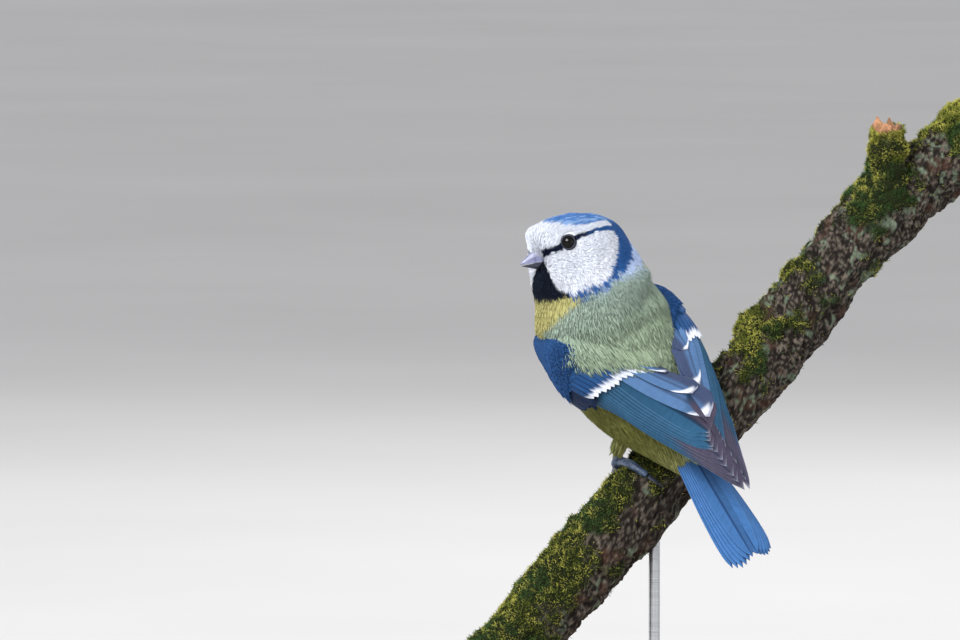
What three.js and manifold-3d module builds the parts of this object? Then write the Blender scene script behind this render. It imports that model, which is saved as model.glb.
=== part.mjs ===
// A life-size blue tit on a short cut length of mossy branch, carried by a plain display stand.
// Millimetres, +Z up. The origin is the middle of the stand's underside. The branch rises towards +X.
// The bird faces away from -Y and downhill, and looks back over its left shoulder towards -X.
import * as THREE from "three";
import { mergeVertices } from "three/addons/utils/BufferGeometryUtils.js";
import Module from "manifold-3d";

const wasm = await Module();
wasm.setup();

const CLEARANCE = 0.3; // gap between pieces that touch

// Where the middle of the bird's trunk is, and the bearing it faces, turned from +X.
const TRUNK_PLACE = [-10.7, -7, 104.3];
const BIRD_BEARING = 135;
const BIRD_ROLL = -17;

const vec = (p) => new THREE.Vector3(...p);
const radians = THREE.MathUtils.degToRad;
const mix = THREE.MathUtils.lerp;
const steps = (count) => Array.from({ length: count + 1 }, (_, i) => i / count);

// Solids

// A closed body from rings of equal count, each end closed by a fan to its own point.
function loft(rings, firstEnd, lastEnd) {
  const around = rings[0].length;
  const points = [firstEnd, ...rings.flat(), lastEnd];
  const last = points.length - 1;
  const at = (ring, i) => 1 + ring * around + (i % around);
  const faces = [];
  for (let i = 0; i < around; i++) {
    faces.push(0, at(0, i + 1), at(0, i));
    faces.push(last, at(rings.length - 1, i), at(rings.length - 1, i + 1));
    for (let r = 0; r + 1 < rings.length; r++) {
      faces.push(at(r, i), at(r, i + 1), at(r + 1, i + 1));
      faces.push(at(r, i), at(r + 1, i + 1), at(r + 1, i));
    }
  }
  return facingOut(points, faces);
}

// A thin closed body between two grids of points, split alike on both faces and walled round the edge.
function plate(upper, lower) {
  const rows = upper.length;
  const columns = upper[0].length;
  const points = [...upper.flat(), ...lower.flat()];
  const top = (r, c) => r * columns + c;
  const under = (r, c) => rows * columns + top(r, c);
  const faces = [];
  for (let r = 0; r + 1 < rows; r++) {
    for (let c = 0; c + 1 < columns; c++) {
      faces.push(top(r, c), top(r, c + 1), top(r + 1, c + 1), top(r, c), top(r + 1, c + 1), top(r + 1, c));
      faces.push(under(r, c), under(r + 1, c + 1), under(r, c + 1));
      faces.push(under(r, c), under(r + 1, c), under(r + 1, c + 1));
    }
  }
  const rim = [
    ...steps(columns - 1).map((_, c) => [0, columns - 1 - c]),
    ...steps(rows - 1).slice(1).map((_, r) => [r + 1, 0]),
    ...steps(columns - 1).slice(1).map((_, c) => [rows - 1, c + 1]),
    ...steps(rows - 1).slice(1, -1).map((_, r) => [rows - 2 - r, columns - 1]),
  ];
  rim.forEach((here, i) => {
    const next = rim[(i + 1) % rim.length];
    faces.push(top(...here), top(...next), under(...next), top(...here), under(...next), under(...here));
  });
  return facingOut(points, faces);
}

// Indexed geometry with its faces turned so that the volume they enclose is positive.
function facingOut(points, faces) {
  let volume = 0;
  for (let i = 0; i < faces.length; i += 3) {
    const [a, b, c] = [points[faces[i]], points[faces[i + 1]], points[faces[i + 2]]];
    volume += a.dot(b.clone().cross(c));
  }
  if (volume < 0) faces.reverse();
  return new THREE.BufferGeometry().setFromPoints(points).setIndex(faces);
}

function mergedGeometry(geometry, tolerance = 1e-4) {
  const bare = new THREE.BufferGeometry().setAttribute("position", geometry.getAttribute("position"));
  if (geometry.index) bare.setIndex(geometry.index);
  return mergeVertices(bare, tolerance);
}

function solid(geometry, tolerance) {
  const merged = mergedGeometry(geometry, tolerance);
  return new wasm.Manifold(
    new wasm.Mesh({
      numProp: 3,
      vertProperties: new Float32Array(merged.getAttribute("position").array),
      triVerts: new Uint32Array(merged.index.array),
    }),
  );
}

function geometryOf(body) {
  const mesh = body.getMesh();
  return new THREE.BufferGeometry()
    .setAttribute("position", new THREE.BufferAttribute(new Float32Array(mesh.vertProperties), 3))
    .setIndex(new THREE.BufferAttribute(new Uint32Array(mesh.triVerts), 1));
}

// The same body with every point moved out along its normal.
function grown(geometry, distance = CLEARANCE) {
  const out = mergedGeometry(geometry);
  out.computeVertexNormals();
  const place = out.getAttribute("position");
  const normal = out.getAttribute("normal");
  for (let i = 0; i < place.count; i++) {
    place.setXYZ(
      i,
      place.getX(i) + distance * normal.getX(i),
      place.getY(i) + distance * normal.getY(i),
      place.getZ(i) + distance * normal.getZ(i),
    );
  }
  return out;
}

function mirrored(geometry) {
  const other = geometry.clone().scale(1, -1, 1);
  other.index.array.reverse();
  return other;
}

const joined = (bodies) => bodies.reduce((whole, body) => whole.add(body));
const largest = (body) => body.decompose().sort((a, b) => b.volume() - a.volume())[0];

// The outer skin of a body's main piece, with specks and sealed pockets left out.
function outerSkin(body) {
  let skin = largest(body).simplify(0.02);
  for (let pass = 0; pass < 3; pass++) skin = solid(geometryOf(largest(skin)), 1e-3);
  return largest(skin);
}

function node(name, body, material) {
  const mesh = new THREE.Mesh(geometryOf(outerSkin(body)), material.clone());
  mesh.name = name;
  return mesh;
}

const finish = (color, roughness, metalness = 0) =>
  new THREE.MeshStandardMaterial({ color, roughness, metalness });

// Plumage: head, neck and trunk as one smooth skin, then parted by thin cuts

// Rings across the spine from the vent to the crown, in the bird's frame (forward, left, up from the trunk's
// middle): the ring's middle, its half width, its depth to breast and to back, and its turn to the left.
const PLUMAGE_RINGS = [
  { at: [-19.6, 0.6, -32.5], wide: 2.2, breast: 1.8, back: 1.6, turn: 0 },
  { at: [-17.6, 0.5, -27.5], wide: 6, breast: 5.6, back: 3.8, turn: 0 },
  { at: [-14.6, 0.4, -20.5], wide: 10.5, breast: 11.4, back: 6, turn: 0 },
  { at: [-10.4, 0.2, -12.5], wide: 14.4, breast: 16.8, back: 8, turn: 0 },
  { at: [-5, 0, -4.5], wide: 17, breast: 19.4, back: 11.4, turn: 0 },
  { at: [0.6, 0, 3.4], wide: 18.2, breast: 20.2, back: 15.2, turn: 0 },
  { at: [4.6, 0.4, 10.5], wide: 18.6, breast: 19.6, back: 17, turn: 4 },
  { at: [6.4, 1, 17.5], wide: 17.4, breast: 16.8, back: 17, turn: 16 },
  { at: [7, 1.2, 24.5], wide: 14.6, breast: 14, back: 16.8, turn: 40 },
  { at: [7, 0.2, 31], wide: 11.6, breast: 14.6, back: 14.4, turn: 60 },
  { at: [7.2, -1.3, 36], wide: 10.4, breast: 14, back: 11.2, turn: 62 },
  { at: [7.4, -2.2, 39.3], wide: 7.6, breast: 10.6, back: 7.2, turn: 62 },
  { at: [7.5, -2.7, 41], wide: 3.2, breast: 4.6, back: 3.2, turn: 62 },
];
const PLUMAGE_ENDS = [[-19.8, 0.6, -33.2], [7.6, -2.8, 41.4]];
const RINGS_ALONG = 30;
const POINTS_AROUND = 26;

// The head's own frame: level, with the bill towards +X and the left cheek towards +Y.
const HEAD_MIDDLE = [7, 0.2, 31];
const HEAD_FORWARD = [0.454, 0.852, 0.261];
const HEAD_UP = [0, -0.292, 0.956];
const headFrame = new THREE.Matrix4()
  .makeBasis(vec(HEAD_FORWARD), vec(HEAD_UP).cross(vec(HEAD_FORWARD)), vec(HEAD_UP))
  .setPosition(...HEAD_MIDDLE);
const onHead = (geometry) => geometry.applyMatrix4(headFrame);

// Where the head's plumage stands fuller, in the head's frame: both cheeks and the forehead.
// The last is the hollow in the face that the bill comes out of.
const SWELLS = [
  { at: [10.6, 7.6, -5.6], height: 1.9, reach: [4.6, 4.6, 4.6] },
  { at: [10.6, -7.6, -5.6], height: 1.9, reach: [4.6, 4.6, 4.6] },
  { at: [13.6, 0, 3.6], height: 1.2, reach: [5, 5, 5] },
  { at: [13.5, 0, -2.6], height: -4, reach: [8, 4.8, 2.5] },
];

const spine = new THREE.CatmullRomCurve3(PLUMAGE_RINGS.map((r) => vec(r.at)), false, "catmullrom", 0.5);
const girths = new THREE.CatmullRomCurve3(
  PLUMAGE_RINGS.map((r) => vec([r.wide, r.breast, r.back])), false, "catmullrom", 0.5,
);
const turns = new THREE.CatmullRomCurve3(
  PLUMAGE_RINGS.map((r) => vec([r.turn, 0, 0])), false, "catmullrom", 0.5,
);

// The skin's point at a share of the way along the spine and an angle from the breast round to the left.
function skinPoint(along, angle) {
  const middle = spine.getPoint(along);
  const axis = spine.getTangent(along);
  const girth = girths.getPoint(along);
  const left = vec([0, 1, 0]).addScaledVector(axis, -axis.y).normalize();
  left.applyAxisAngle(axis, radians(turns.getPoint(along).x));
  const front = left.clone().cross(axis);
  const depth = Math.cos(angle) > 0 ? girth.y : girth.z;
  const point = middle
    .addScaledVector(front, depth * Math.cos(angle))
    .addScaledVector(left, girth.x * Math.sin(angle));
  const outward = point.clone().sub(vec(HEAD_MIDDLE)).normalize();
  const inHead = point.clone().applyMatrix4(headFrame.clone().invert());
  const swell = SWELLS.reduce((sum, { at, height, reach }) => {
    const away = inHead.clone().sub(vec(at)).divide(vec(reach));
    return sum + height * Math.exp(-away.lengthSq());
  }, 0);
  return point.addScaledVector(outward, swell);
}

const plumageGeometry = loft(
  steps(RINGS_ALONG).map((along) =>
    steps(POINTS_AROUND).slice(1).map((turn) => skinPoint(along, 2 * Math.PI * turn)),
  ),
  ...PLUMAGE_ENDS.map(vec),
);

// The part of a body in front of a plane, or behind it, half a clearance away from the plane.
function sideOf(body, place, facing, side) {
  const out = vec(facing).normalize().multiplyScalar(side);
  const reach = 200;
  const block = new THREE.BoxGeometry(reach, reach, reach).translate(0, 0, reach / 2 + CLEARANCE / 2);
  block.applyQuaternion(new THREE.Quaternion().setFromUnitVectors(vec([0, 0, 1]), out));
  return body.intersect(solid(block.translate(...place)));
}

// Wings: guides run from the shoulder to the tip along the back edge, the middle and the lower edge
const WING_BACK = [
  [9, 10, 13], [-3, 10.6, 8.6], [-13, 6.6, 1.6], [-20.5, 0.5, -7], [-27.2, -1, -16.4], [-35.2, -0.8, -34],
];
const WING_MIDDLE = [
  [15.5, 15, 13.5], [3, 19.8, 10], [-9, 18.8, 2.6], [-16.5, 15.4, -9], [-24.6, 8.6, -22], [-35, 1.6, -34.8],
];
const WING_LOWER = [
  [16.2, 15.6, 7], [6.6, 17.8, -2.4], [-6, 17.2, -10.4], [-18, 13.4, -17], [-28, 8.4, -24.6], [-36, 2.6, -35],
];
const WINGS = {
  left: { drop: 1.6, outerRoot: 0.84, outerTip: 0.2, outerHalf: 1.9, stack: 1, tuck: 0 },
  right: { drop: -1.6, outerRoot: 0.93, outerTip: 0.5, outerHalf: 2.4, stack: 0.45, tuck: 0.14 },
};
const WING_SHOULDER = { along: 0.14, across: 0.35, height: 1.6 };
const guides = [WING_BACK, WING_MIDDLE, WING_LOWER].map(
  (points) => new THREE.CatmullRomCurve3(points.map(vec), false, "catmullrom", 0.5),
);

// The wing's outer face: along from shoulder to tip, across from the back edge to the lower edge.
// The left wing is held a little lower than the right, down to nothing at the tip, and lies over it.
function wingPoint(along, across, drop) {
  const weights = [(1 - across) * (1 - 2 * across), 4 * across * (1 - across), across * (2 * across - 1)];
  const point = vec([0, 0, -drop * (1 - along)]);
  guides.forEach((guide, i) => point.addScaledVector(guide.getPoint(along), weights[i]));
  return point;
}

// The same point lifted off the wing's face, which is fuller over the shoulder.
function wingLifted(along, across, drop, height) {
  const bump = WING_SHOULDER.height * Math.exp(
    -(((along - WING_SHOULDER.along) / 0.16) ** 2) - ((across - WING_SHOULDER.across) / 0.4) ** 2,
  );
  const nudge = 0.01;
  const from = Math.max(along, nudge);
  const back = wingPoint(from, across, drop).sub(wingPoint(from - nudge, across, drop));
  const down = wingPoint(along, across + nudge, drop).sub(wingPoint(along, across - nudge, drop));
  return wingPoint(along, across, drop).addScaledVector(down.cross(back).normalize(), height + bump);
}

const wingWidth = (along) => guides[0].getPoint(along).distanceTo(guides[2].getPoint(along));

// A feather lying on the wing: root and tip as [along, across], half widths at both ends in millimetres,
// and the height of its back. The lower edge stands higher, so it covers the next feather.
const VANE_ROWS = [0, 0.45, 0.78, 0.94, 1];
const VANE_THICK = { root: 1, tip: 0.6 };
const VANE_TILT = 0.25;

function wingFeather({ root, tip, half, lift }, drop) {
  const face = (depth) => VANE_ROWS.map((t) => [-1, 0, 1].map((side) => {
    const taper = Math.sqrt(Math.max(0.06, 1 - t ** 7));
    const thick = depth * mix(VANE_THICK.root, VANE_THICK.tip, t);
    const along = mix(root[0], tip[0], t) - 0.02 * side * side * t;
    const across = mix(root[1], tip[1], t) + (side * mix(half[0], half[1], t) * taper) / wingWidth(along);
    const sunk = 0.8 * (1 - t) ** 2;
    return wingLifted(along, across, drop, lift - sunk + VANE_TILT * side - thick);
  }));
  return solid(plate(face(0), face(1)));
}

// Three tertials on top, then secondaries, primaries, and the great coverts over their roots.
const TERTIALS = [
  { root: [0.3, 0.12], tip: [0.47, -0.02], half: [2.6, 3], lift: 1.7 },
  { root: [0.3, 0.16], tip: [0.63, 0], half: [2.8, 3.2], lift: 1.35 },
  { root: [0.32, 0.25], tip: [0.78, 0.02], half: [2.8, 3.3], lift: 1 },
];

function wingBody({ drop, outerRoot, outerTip, outerHalf, stack, tuck }) {
  const coreFace = (height) => steps(7).map((u) => steps(5).map((v) =>
    wingLifted(mix(0.02, 0.5, u), mix(0.12, 0.97, v), drop, height)));
  const core = solid(plate(coreFace(0.35), coreFace(-1.1)));
  const row = (count, feather) => steps(count - 1).map((share) => wingFeather(feather(share), drop));
  return joined([
    core,
    ...TERTIALS.map(({ root, tip, half, lift }) =>
      wingFeather({ root, tip: [tip[0], tip[1] + tuck], half, lift: stack * lift }, drop)),
    ...row(4, (k) => ({
      root: [0.34, mix(0.34, 0.5, k)], tip: [mix(0.81, 0.86, k), mix(0.1, 0.16, k)],
      half: [1.8, mix(3.2, 2.8, k)], lift: mix(0.75 * stack, 0.4 * stack, k),
    })),
    ...row(6, (k) => ({
      root: [0.36, mix(0.52, outerRoot, k)], tip: [mix(0.88, 1, k), mix(0.14, outerTip, k)],
      half: [1.6, mix(2.8, outerHalf, k)], lift: mix(0.35 * stack, -0.1, k),
    })),
    ...row(6, (k) => ({
      root: [0.2, mix(0.28, 0.78, k)], tip: [mix(0.46, 0.37, k), mix(0.22, 0.78, k)],
      half: [1.5, 1.9], lift: 1,
    })),
    ...row(3, (k) => ({
      root: [0.18, mix(0.86, 0.94, k)], tip: [mix(0.4, 0.34, k), mix(0.85, 0.93, k)],
      half: [0.9, 0.9], lift: 0.75,
    })),
  ]);
}

// Tail: twelve feathers in a narrow fan, the middle pair uppermost
const TAIL_ROOT = [-12.2, 1, -10.9];
const TAIL_TIP = [-35.2, 1, -54];
const TAIL_PAIRS = 6;

function tailFeather(side, pair) {
  const length = vec(TAIL_TIP).distanceTo(vec(TAIL_ROOT)) - [2.6, 1.6, 0.6, 0, 0.8, 2.4][pair];
  const fan = side * radians(0.8 + 1.35 * pair);
  const lift = 0.36 * pair + (side > 0 ? 0 : 0.18);
  const face = (drop) => VANE_ROWS.map((t) => [-1, 0, 1].map((edge) => {
    const taper = Math.sqrt(Math.max(0.05, 1 - t ** 9));
    const reach = length * t - 0.8 * edge * edge * t;
    const half = mix(1.6, 3.1, Math.min(1, t * 1.6)) * taper;
    const sideways = side * (0.5 + 0.25 * pair) + reach * Math.sin(fan) + edge * half;
    return vec([reach * Math.cos(fan), sideways, lift - 0.12 * edge * side - drop]);
  }));
  return solid(plate(face(0), face(VANE_THICK.tip)));
}

function tailBody() {
  const pairs = steps(TAIL_PAIRS - 1).map((_, pair) => pair);
  const feathers = pairs.flatMap((pair) => [1, -1].map((side) => tailFeather(side, pair)));
  const along = vec(TAIL_TIP).sub(vec(TAIL_ROOT)).normalize();
  const across = vec([0, 1, 0]);
  const frame = new THREE.Matrix4().makeBasis(along, across, along.clone().cross(across));
  const geometry = geometryOf(joined(feathers)).applyMatrix4(frame).translate(...TAIL_ROOT);
  return solid(geometry);
}

// Eyes, in the head's own frame
const EYE_PLACE = [6.5, 8.1, 2.9];
const EYE_RADIUS = 2.35;
const EYE_LOOKS = [0.4, 0.9, 0.12];
const LID_TUBE = 0.42;

function eyeParts(side) {
  const place = [EYE_PLACE[0], side * EYE_PLACE[1], EYE_PLACE[2]];
  const looks = vec([EYE_LOOKS[0], side * EYE_LOOKS[1], EYE_LOOKS[2]]).normalize();
  const facing = new THREE.Quaternion().setFromUnitVectors(vec([0, 0, 1]), looks);
  const ball = (radius) => onHead(new THREE.SphereGeometry(radius, 16, 12).translate(...place));
  const rim = new THREE.TorusGeometry(EYE_RADIUS - 0.1, LID_TUBE, 6, 16).applyQuaternion(facing)
    .translate(...vec(place).addScaledVector(looks, 1.25).toArray());
  return {
    ball: solid(ball(EYE_RADIUS)),
    socket: solid(ball(EYE_RADIUS + CLEARANCE)),
    lid: solid(onHead(rim)),
  };
}

// Bill: both halves run from inside the face to the tip, parted by the mouth line
const BILL_FROM = 8.5;
const BILL_TO = 17.6;
const BILL_HALF_WIDTH = 2.1;
const BILL_RIDGE = 1.9;
const BILL_KEEL = -4.7;
const NOSTRIL = { place: [12.6, 1.35, -0.95], radius: 0.36 };

function billHalf(upper) {
  const tipAt = upper ? BILL_TO : BILL_TO - 0.6;
  const rings = steps(8).map((t) => {
    const forward = mix(BILL_FROM, tipAt - 0.15, t);
    const share = Math.max(0, (forward - 11) / (tipAt - 11));
    const mouth = mix(-2.5, -3.5, share);
    const ridge = upper ? mix(BILL_RIDGE, -3.25, share ** 1.5) : mix(BILL_KEEL, -3.75, share ** 1.5);
    const half = BILL_HALF_WIDTH * (1 - 0.9 * share ** 1.25);
    const line = upper ? mouth + CLEARANCE / 2 : mouth - CLEARANCE / 2;
    return steps(12).slice(1).map((turn) => {
      const angle = 2 * Math.PI * turn;
      const rise = Math.max(0, Math.sin(angle)) * (ridge - line);
      return vec([forward, half * Math.cos(angle), line + (upper ? Math.max(rise, 0) : Math.min(rise, 0))]);
    });
  });
  const middle = (ring) => ring[0].clone().add(ring[6]).add(ring[3]).divideScalar(3);
  return solid(onHead(loft(rings, middle(rings[0]), middle(rings[8]).setX(tipAt))));
}

function upperBill() {
  const pits = [1, -1].map((side) => {
    const [x, y, z] = NOSTRIL.place;
    return solid(onHead(new THREE.SphereGeometry(NOSTRIL.radius, 8, 6).translate(x, side * y, z)));
  });
  return billHalf(true).subtract(joined(pits));
}

// Perch: a cut length of branch, round in section with slow swellings, and the stub of a broken twig
const PERCH_AXIS = [
  [-44.9, 21.3], [-27.5, 41.9], [-5.8, 66.5], [21.5, 97], [33, 111.9], [49.1, 132.1], [64.3, 147.1],
  [79.1, 158.5], [87.1, 164.3],
];
const PERCH_RADIUS = 9.8;
const PERCH_RECEDES = 0.25;
const PERCH_SHIFT = 17;
const PERCH_SWELL = 0.35;
const STUB = { from: [61, 17, 146], to: [59.6, 11, 171], radius: 5.8, end: 4.4 };
const perchLine = new THREE.CatmullRomCurve3(
  PERCH_AXIS.map(([x, z]) => vec([x, (x + PERCH_SHIFT) * PERCH_RECEDES, z])), false, "catmullrom", 0.5,
);

// A point on the bark, at an angle from the side facing -Y round to the upper side.
function perchPoint(along, angle, lift = 0) {
  const axis = perchLine.getTangent(along);
  const front = vec([0, -1, 0]).addScaledVector(axis, axis.y).normalize();
  const upper = front.clone().cross(axis);
  const swell = PERCH_SWELL * (Math.sin(23 * along + 2 * angle) + Math.sin(41 * along - 3 * angle) * 0.6);
  const reach = PERCH_RADIUS + swell + lift;
  return perchLine.getPoint(along)
    .addScaledVector(front, reach * Math.cos(angle))
    .addScaledVector(upper, reach * Math.sin(angle));
}

// A tube through points, its radius given at each of them, with rounded or pointed ends by the last radii.
function tube(points, radii, around = 8, count = 10) {
  const line = new THREE.CatmullRomCurve3(points, false, "catmullrom", 0.5);
  const thick = new THREE.CatmullRomCurve3(radii.map((r, i) => vec([r, i, 0])), false, "catmullrom", 0.5);
  const { normals, binormals } = line.computeFrenetFrames(count, false);
  const rings = steps(count).map((t, i) => steps(around).slice(1).map((turn) => line.getPoint(t)
    .addScaledVector(normals[i], thick.getPoint(t).x * Math.cos(2 * Math.PI * turn))
    .addScaledVector(binormals[i], thick.getPoint(t).x * Math.sin(2 * Math.PI * turn))));
  const capOut = (t, sign) =>
    line.getPoint(t).addScaledVector(line.getTangent(t), sign * 0.35 * thick.getPoint(t).x);
  return loft(rings, capOut(0, -1), capOut(1, 1));
}

const perchGeometry = loft(
  steps(36).map((along) => steps(20).slice(1).map((turn) => perchPoint(along, 2 * Math.PI * turn))),
  perchLine.getPoint(0), perchLine.getPoint(1),
);
const stubGeometry = tube([STUB.from, STUB.to].map(vec), [STUB.radius, STUB.end], 12, 3);

// Feet: a pad with four toes closed round the perch, and eight claws
const FEET = { left: { along: 0.26, round: 88 }, right: { along: 0.302, round: 110 } };
const KNEES = { left: [-4, 8, -16], right: [-4, -6, -16] };
const TOE_LIFT = 1.45;
const TOES = {
  back: { turn: [-6, -66], claw: -96, drift: [0.001, 0.004], radius: 1.15 },
  inner: { turn: [6, 58], claw: 84, drift: [-0.002, -0.012], radius: 0.95 },
  middle: { turn: [8, 68], claw: 96, drift: [0, 0], radius: 1 },
  outer: { turn: [6, 58], claw: 84, drift: [0.002, 0.012], radius: 0.95 },
};

// Points along a toe or its claw, over the bark, by degrees round the perch from the pad.
function toePath(foot, toe, from, to, lift) {
  const [start, end] = toe.turn;
  return steps(4).map((t) => {
    const degrees = mix(from, to, t);
    const share = (degrees - start) / (end - start);
    return perchPoint(foot.along + mix(...toe.drift, share), radians(foot.round + degrees), lift(t));
  });
}

const birdPlace = new THREE.Matrix4()
  .makeRotationFromEuler(new THREE.Euler(radians(BIRD_ROLL), 0, radians(BIRD_BEARING), "ZYX"))
  .setPosition(...TRUNK_PLACE);
const birdInverse = birdPlace.clone().invert();
const inBird = (geometry) => geometry.clone().applyMatrix4(birdInverse);
const inRoom = (body) => solid(geometryOf(largest(body)).applyMatrix4(birdPlace));

const padPoint = (foot, lift) => perchPoint(foot.along, radians(foot.round), lift);

function footParts(foot) {
  const toes = Object.values(TOES).map((toe) => {
    const lift = (t) => TOE_LIFT + 0.5 * Math.sin(Math.PI * t) - 0.1;
    const radii = [1.25, 1, 1.08, 0.9, 0.8].map((share) => share * toe.radius);
    return solid(tube(toePath(foot, toe, ...toe.turn, lift), radii));
  });
  const pad = new THREE.SphereGeometry(1, 12, 8).scale(2.1, 2.1, 1.5);
  const upper = padPoint(foot, 1).sub(padPoint(foot, 0));
  pad.applyQuaternion(new THREE.Quaternion().setFromUnitVectors(vec([0, 0, 1]), upper));
  pad.translate(...padPoint(foot, 2).toArray());
  const claws = Object.entries(TOES).map(([name, toe]) => {
    const gap = Math.sign(toe.claw - toe.turn[1]) * 3.6;
    const lift = (t) => TOE_LIFT - 0.1 + 0.5 * Math.sin(Math.PI * t) - 0.75 * t;
    const path = toePath(foot, toe, toe.turn[1] + gap, toe.claw, lift);
    return [name, solid(inBird(tube(path, [0.72, 0.62, 0.48, 0.32, 0.12], 6, 6)))];
  });
  return { body: solid(inBird(geometryOf(joined([...toes, solid(pad)])))), claws };
}

function legBody(foot, knee) {
  const ankle = padPoint(foot, 2.6).applyMatrix4(birdInverse);
  return solid(tube([ankle, vec(knee)], [1.15, 1.35], 10, 4));
}

// Stand: a flat oval base and two upright rods
const BASE = { half: [46, 32], height: 8, edge: 1.6 };
const RODS = { stand_rod_low: -32, stand_rod_high: -2.7 };
const ROD_RADIUS = 1.5;

function baseGeometry() {
  const { half, height, edge } = BASE;
  const profile = [
    [0, 0], [0.99, 0], [1, 0.6], [1, height - edge],
    [1 - edge / half[0], height - edge / 3], [1 - (2 * edge) / half[0], height], [0, height],
  ];
  const turned = new THREE.LatheGeometry(profile.map(([r, z]) => new THREE.Vector2(r * half[0], z)), 48);
  return turned.rotateX(Math.PI / 2).scale(1, half[1] / half[0], 1);
}

function rodGeometry(x) {
  const place = perchLine.getPoint(perchAlong(x));
  const height = place.z - BASE.height - CLEARANCE;
  return new THREE.CylinderGeometry(ROD_RADIUS, ROD_RADIUS, height, 20)
    .rotateX(Math.PI / 2)
    .translate(place.x, place.y, BASE.height + CLEARANCE + height / 2);
}

// The share along the perch where its axis passes above x.
function perchAlong(x) {
  return steps(400).find((along) => perchLine.getPoint(along).x >= x);
}

// Assembly
const COLOURS = {
  plumage: finish(0x9aa678, 0.9),
  crown: finish(0xd9dde0, 0.9),
  wing: finish(0x4a6f9c, 0.6),
  tail: finish(0x3f6fb4, 0.6),
  eye: finish(0x0b0908, 0.08),
  bill: finish(0x5a5c66, 0.4),
  leg: finish(0x55616f, 0.55),
  claw: finish(0x3a3d45, 0.4),
  bark: finish(0x4b4437, 0.95),
  wood: finish(0x6a4a30, 0.45),
  steel: finish(0x8a8d90, 0.35, 0.9),
};

const perch = joined([solid(perchGeometry), solid(stubGeometry)]);
const perchGrown = solid(inBird(grown(geometryOf(perch))));
const plumage = solid(plumageGeometry);
const plumageGrown = solid(grown(plumageGeometry));

const HEAD_CUT = { place: [8.2, 0, 22.4], facing: [0.226, -0.061, 0.972] };
const NECK_CUT = { place: [5.3, 0, 16.8], facing: [0.167, -0.124, 0.978] };
const above = (body, cut) => sideOf(body, cut.place, cut.facing, 1);
const below = (body, cut) => sideOf(body, cut.place, cut.facing, -1);

const eyes = { left: eyeParts(1), right: eyeParts(-1) };
const head = above(plumage, HEAD_CUT)
  .add(joined([eyes.left.lid, eyes.right.lid]))
  .subtract(joined([eyes.left.socket, eyes.right.socket]));
const neck = above(below(plumage, HEAD_CUT), NECK_CUT);

// The belly rests on the perch and over the toes, so both are let into it.
const feet = Object.fromEntries(Object.entries(FEET).map(([side, foot]) => {
  const { body, claws } = footParts(foot);
  const clearClaws = claws.map(([toe, claw]) => [toe, claw.subtract(perchGrown)]);
  return [side, { body: body.subtract(perchGrown), claws: clearClaws }];
}));
const grips = Object.values(feet).flatMap(({ body, claws }) => [body, ...claws.map(([, claw]) => claw)]);
const gripsGrown = joined(grips.map((grip) => solid(grown(geometryOf(largest(grip))))));
const torso = below(plumage, NECK_CUT).subtract(perchGrown).subtract(gripsGrown);

const tail = tailBody().subtract(plumageGrown).subtract(perchGrown);
const wingLeft = wingBody(WINGS.left).subtract(plumageGrown).subtract(perchGrown);
const wingLeftGrown = solid(grown(geometryOf(largest(wingLeft))));
const wingRight = solid(mirrored(geometryOf(wingBody(WINGS.right))))
  .subtract(plumageGrown).subtract(perchGrown).subtract(wingLeftGrown);

const model = new THREE.Group();
model.add(node("head", inRoom(head), COLOURS.crown));
model.add(node("neck", inRoom(neck), COLOURS.plumage));
model.add(node("torso", inRoom(torso), COLOURS.plumage));
model.add(node("bill_upper", inRoom(upperBill().subtract(plumageGrown)), COLOURS.bill));
model.add(node("bill_lower", inRoom(billHalf(false).subtract(plumageGrown)), COLOURS.bill));
model.add(node("tail", inRoom(tail), COLOURS.tail));
model.add(node("wing_left", inRoom(wingLeft), COLOURS.wing));
model.add(node("wing_right", inRoom(wingRight), COLOURS.wing));
for (const [side, { body, claws }] of Object.entries(feet)) {
  const leg = legBody(FEET[side], KNEES[side]).subtract(plumageGrown).subtract(gripsGrown);
  model.add(node(`eye_${side}`, inRoom(eyes[side].ball), COLOURS.eye));
  model.add(node(`leg_${side}`, inRoom(leg), COLOURS.leg));
  model.add(node(`foot_${side}`, inRoom(body), COLOURS.leg));
  for (const [toe, claw] of claws) {
    model.add(node(`claw_${side}_${toe}`, inRoom(claw), COLOURS.claw));
  }
}
model.add(node("perch", perch, COLOURS.bark));
model.add(node("stand_base", solid(baseGeometry()), COLOURS.wood));
const perchRoom = solid(grown(geometryOf(perch)));
for (const [name, x] of Object.entries(RODS)) {
  model.add(node(name, solid(rodGeometry(x)).subtract(perchRoom), COLOURS.steel));
}
export default model;
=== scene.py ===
import math

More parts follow.
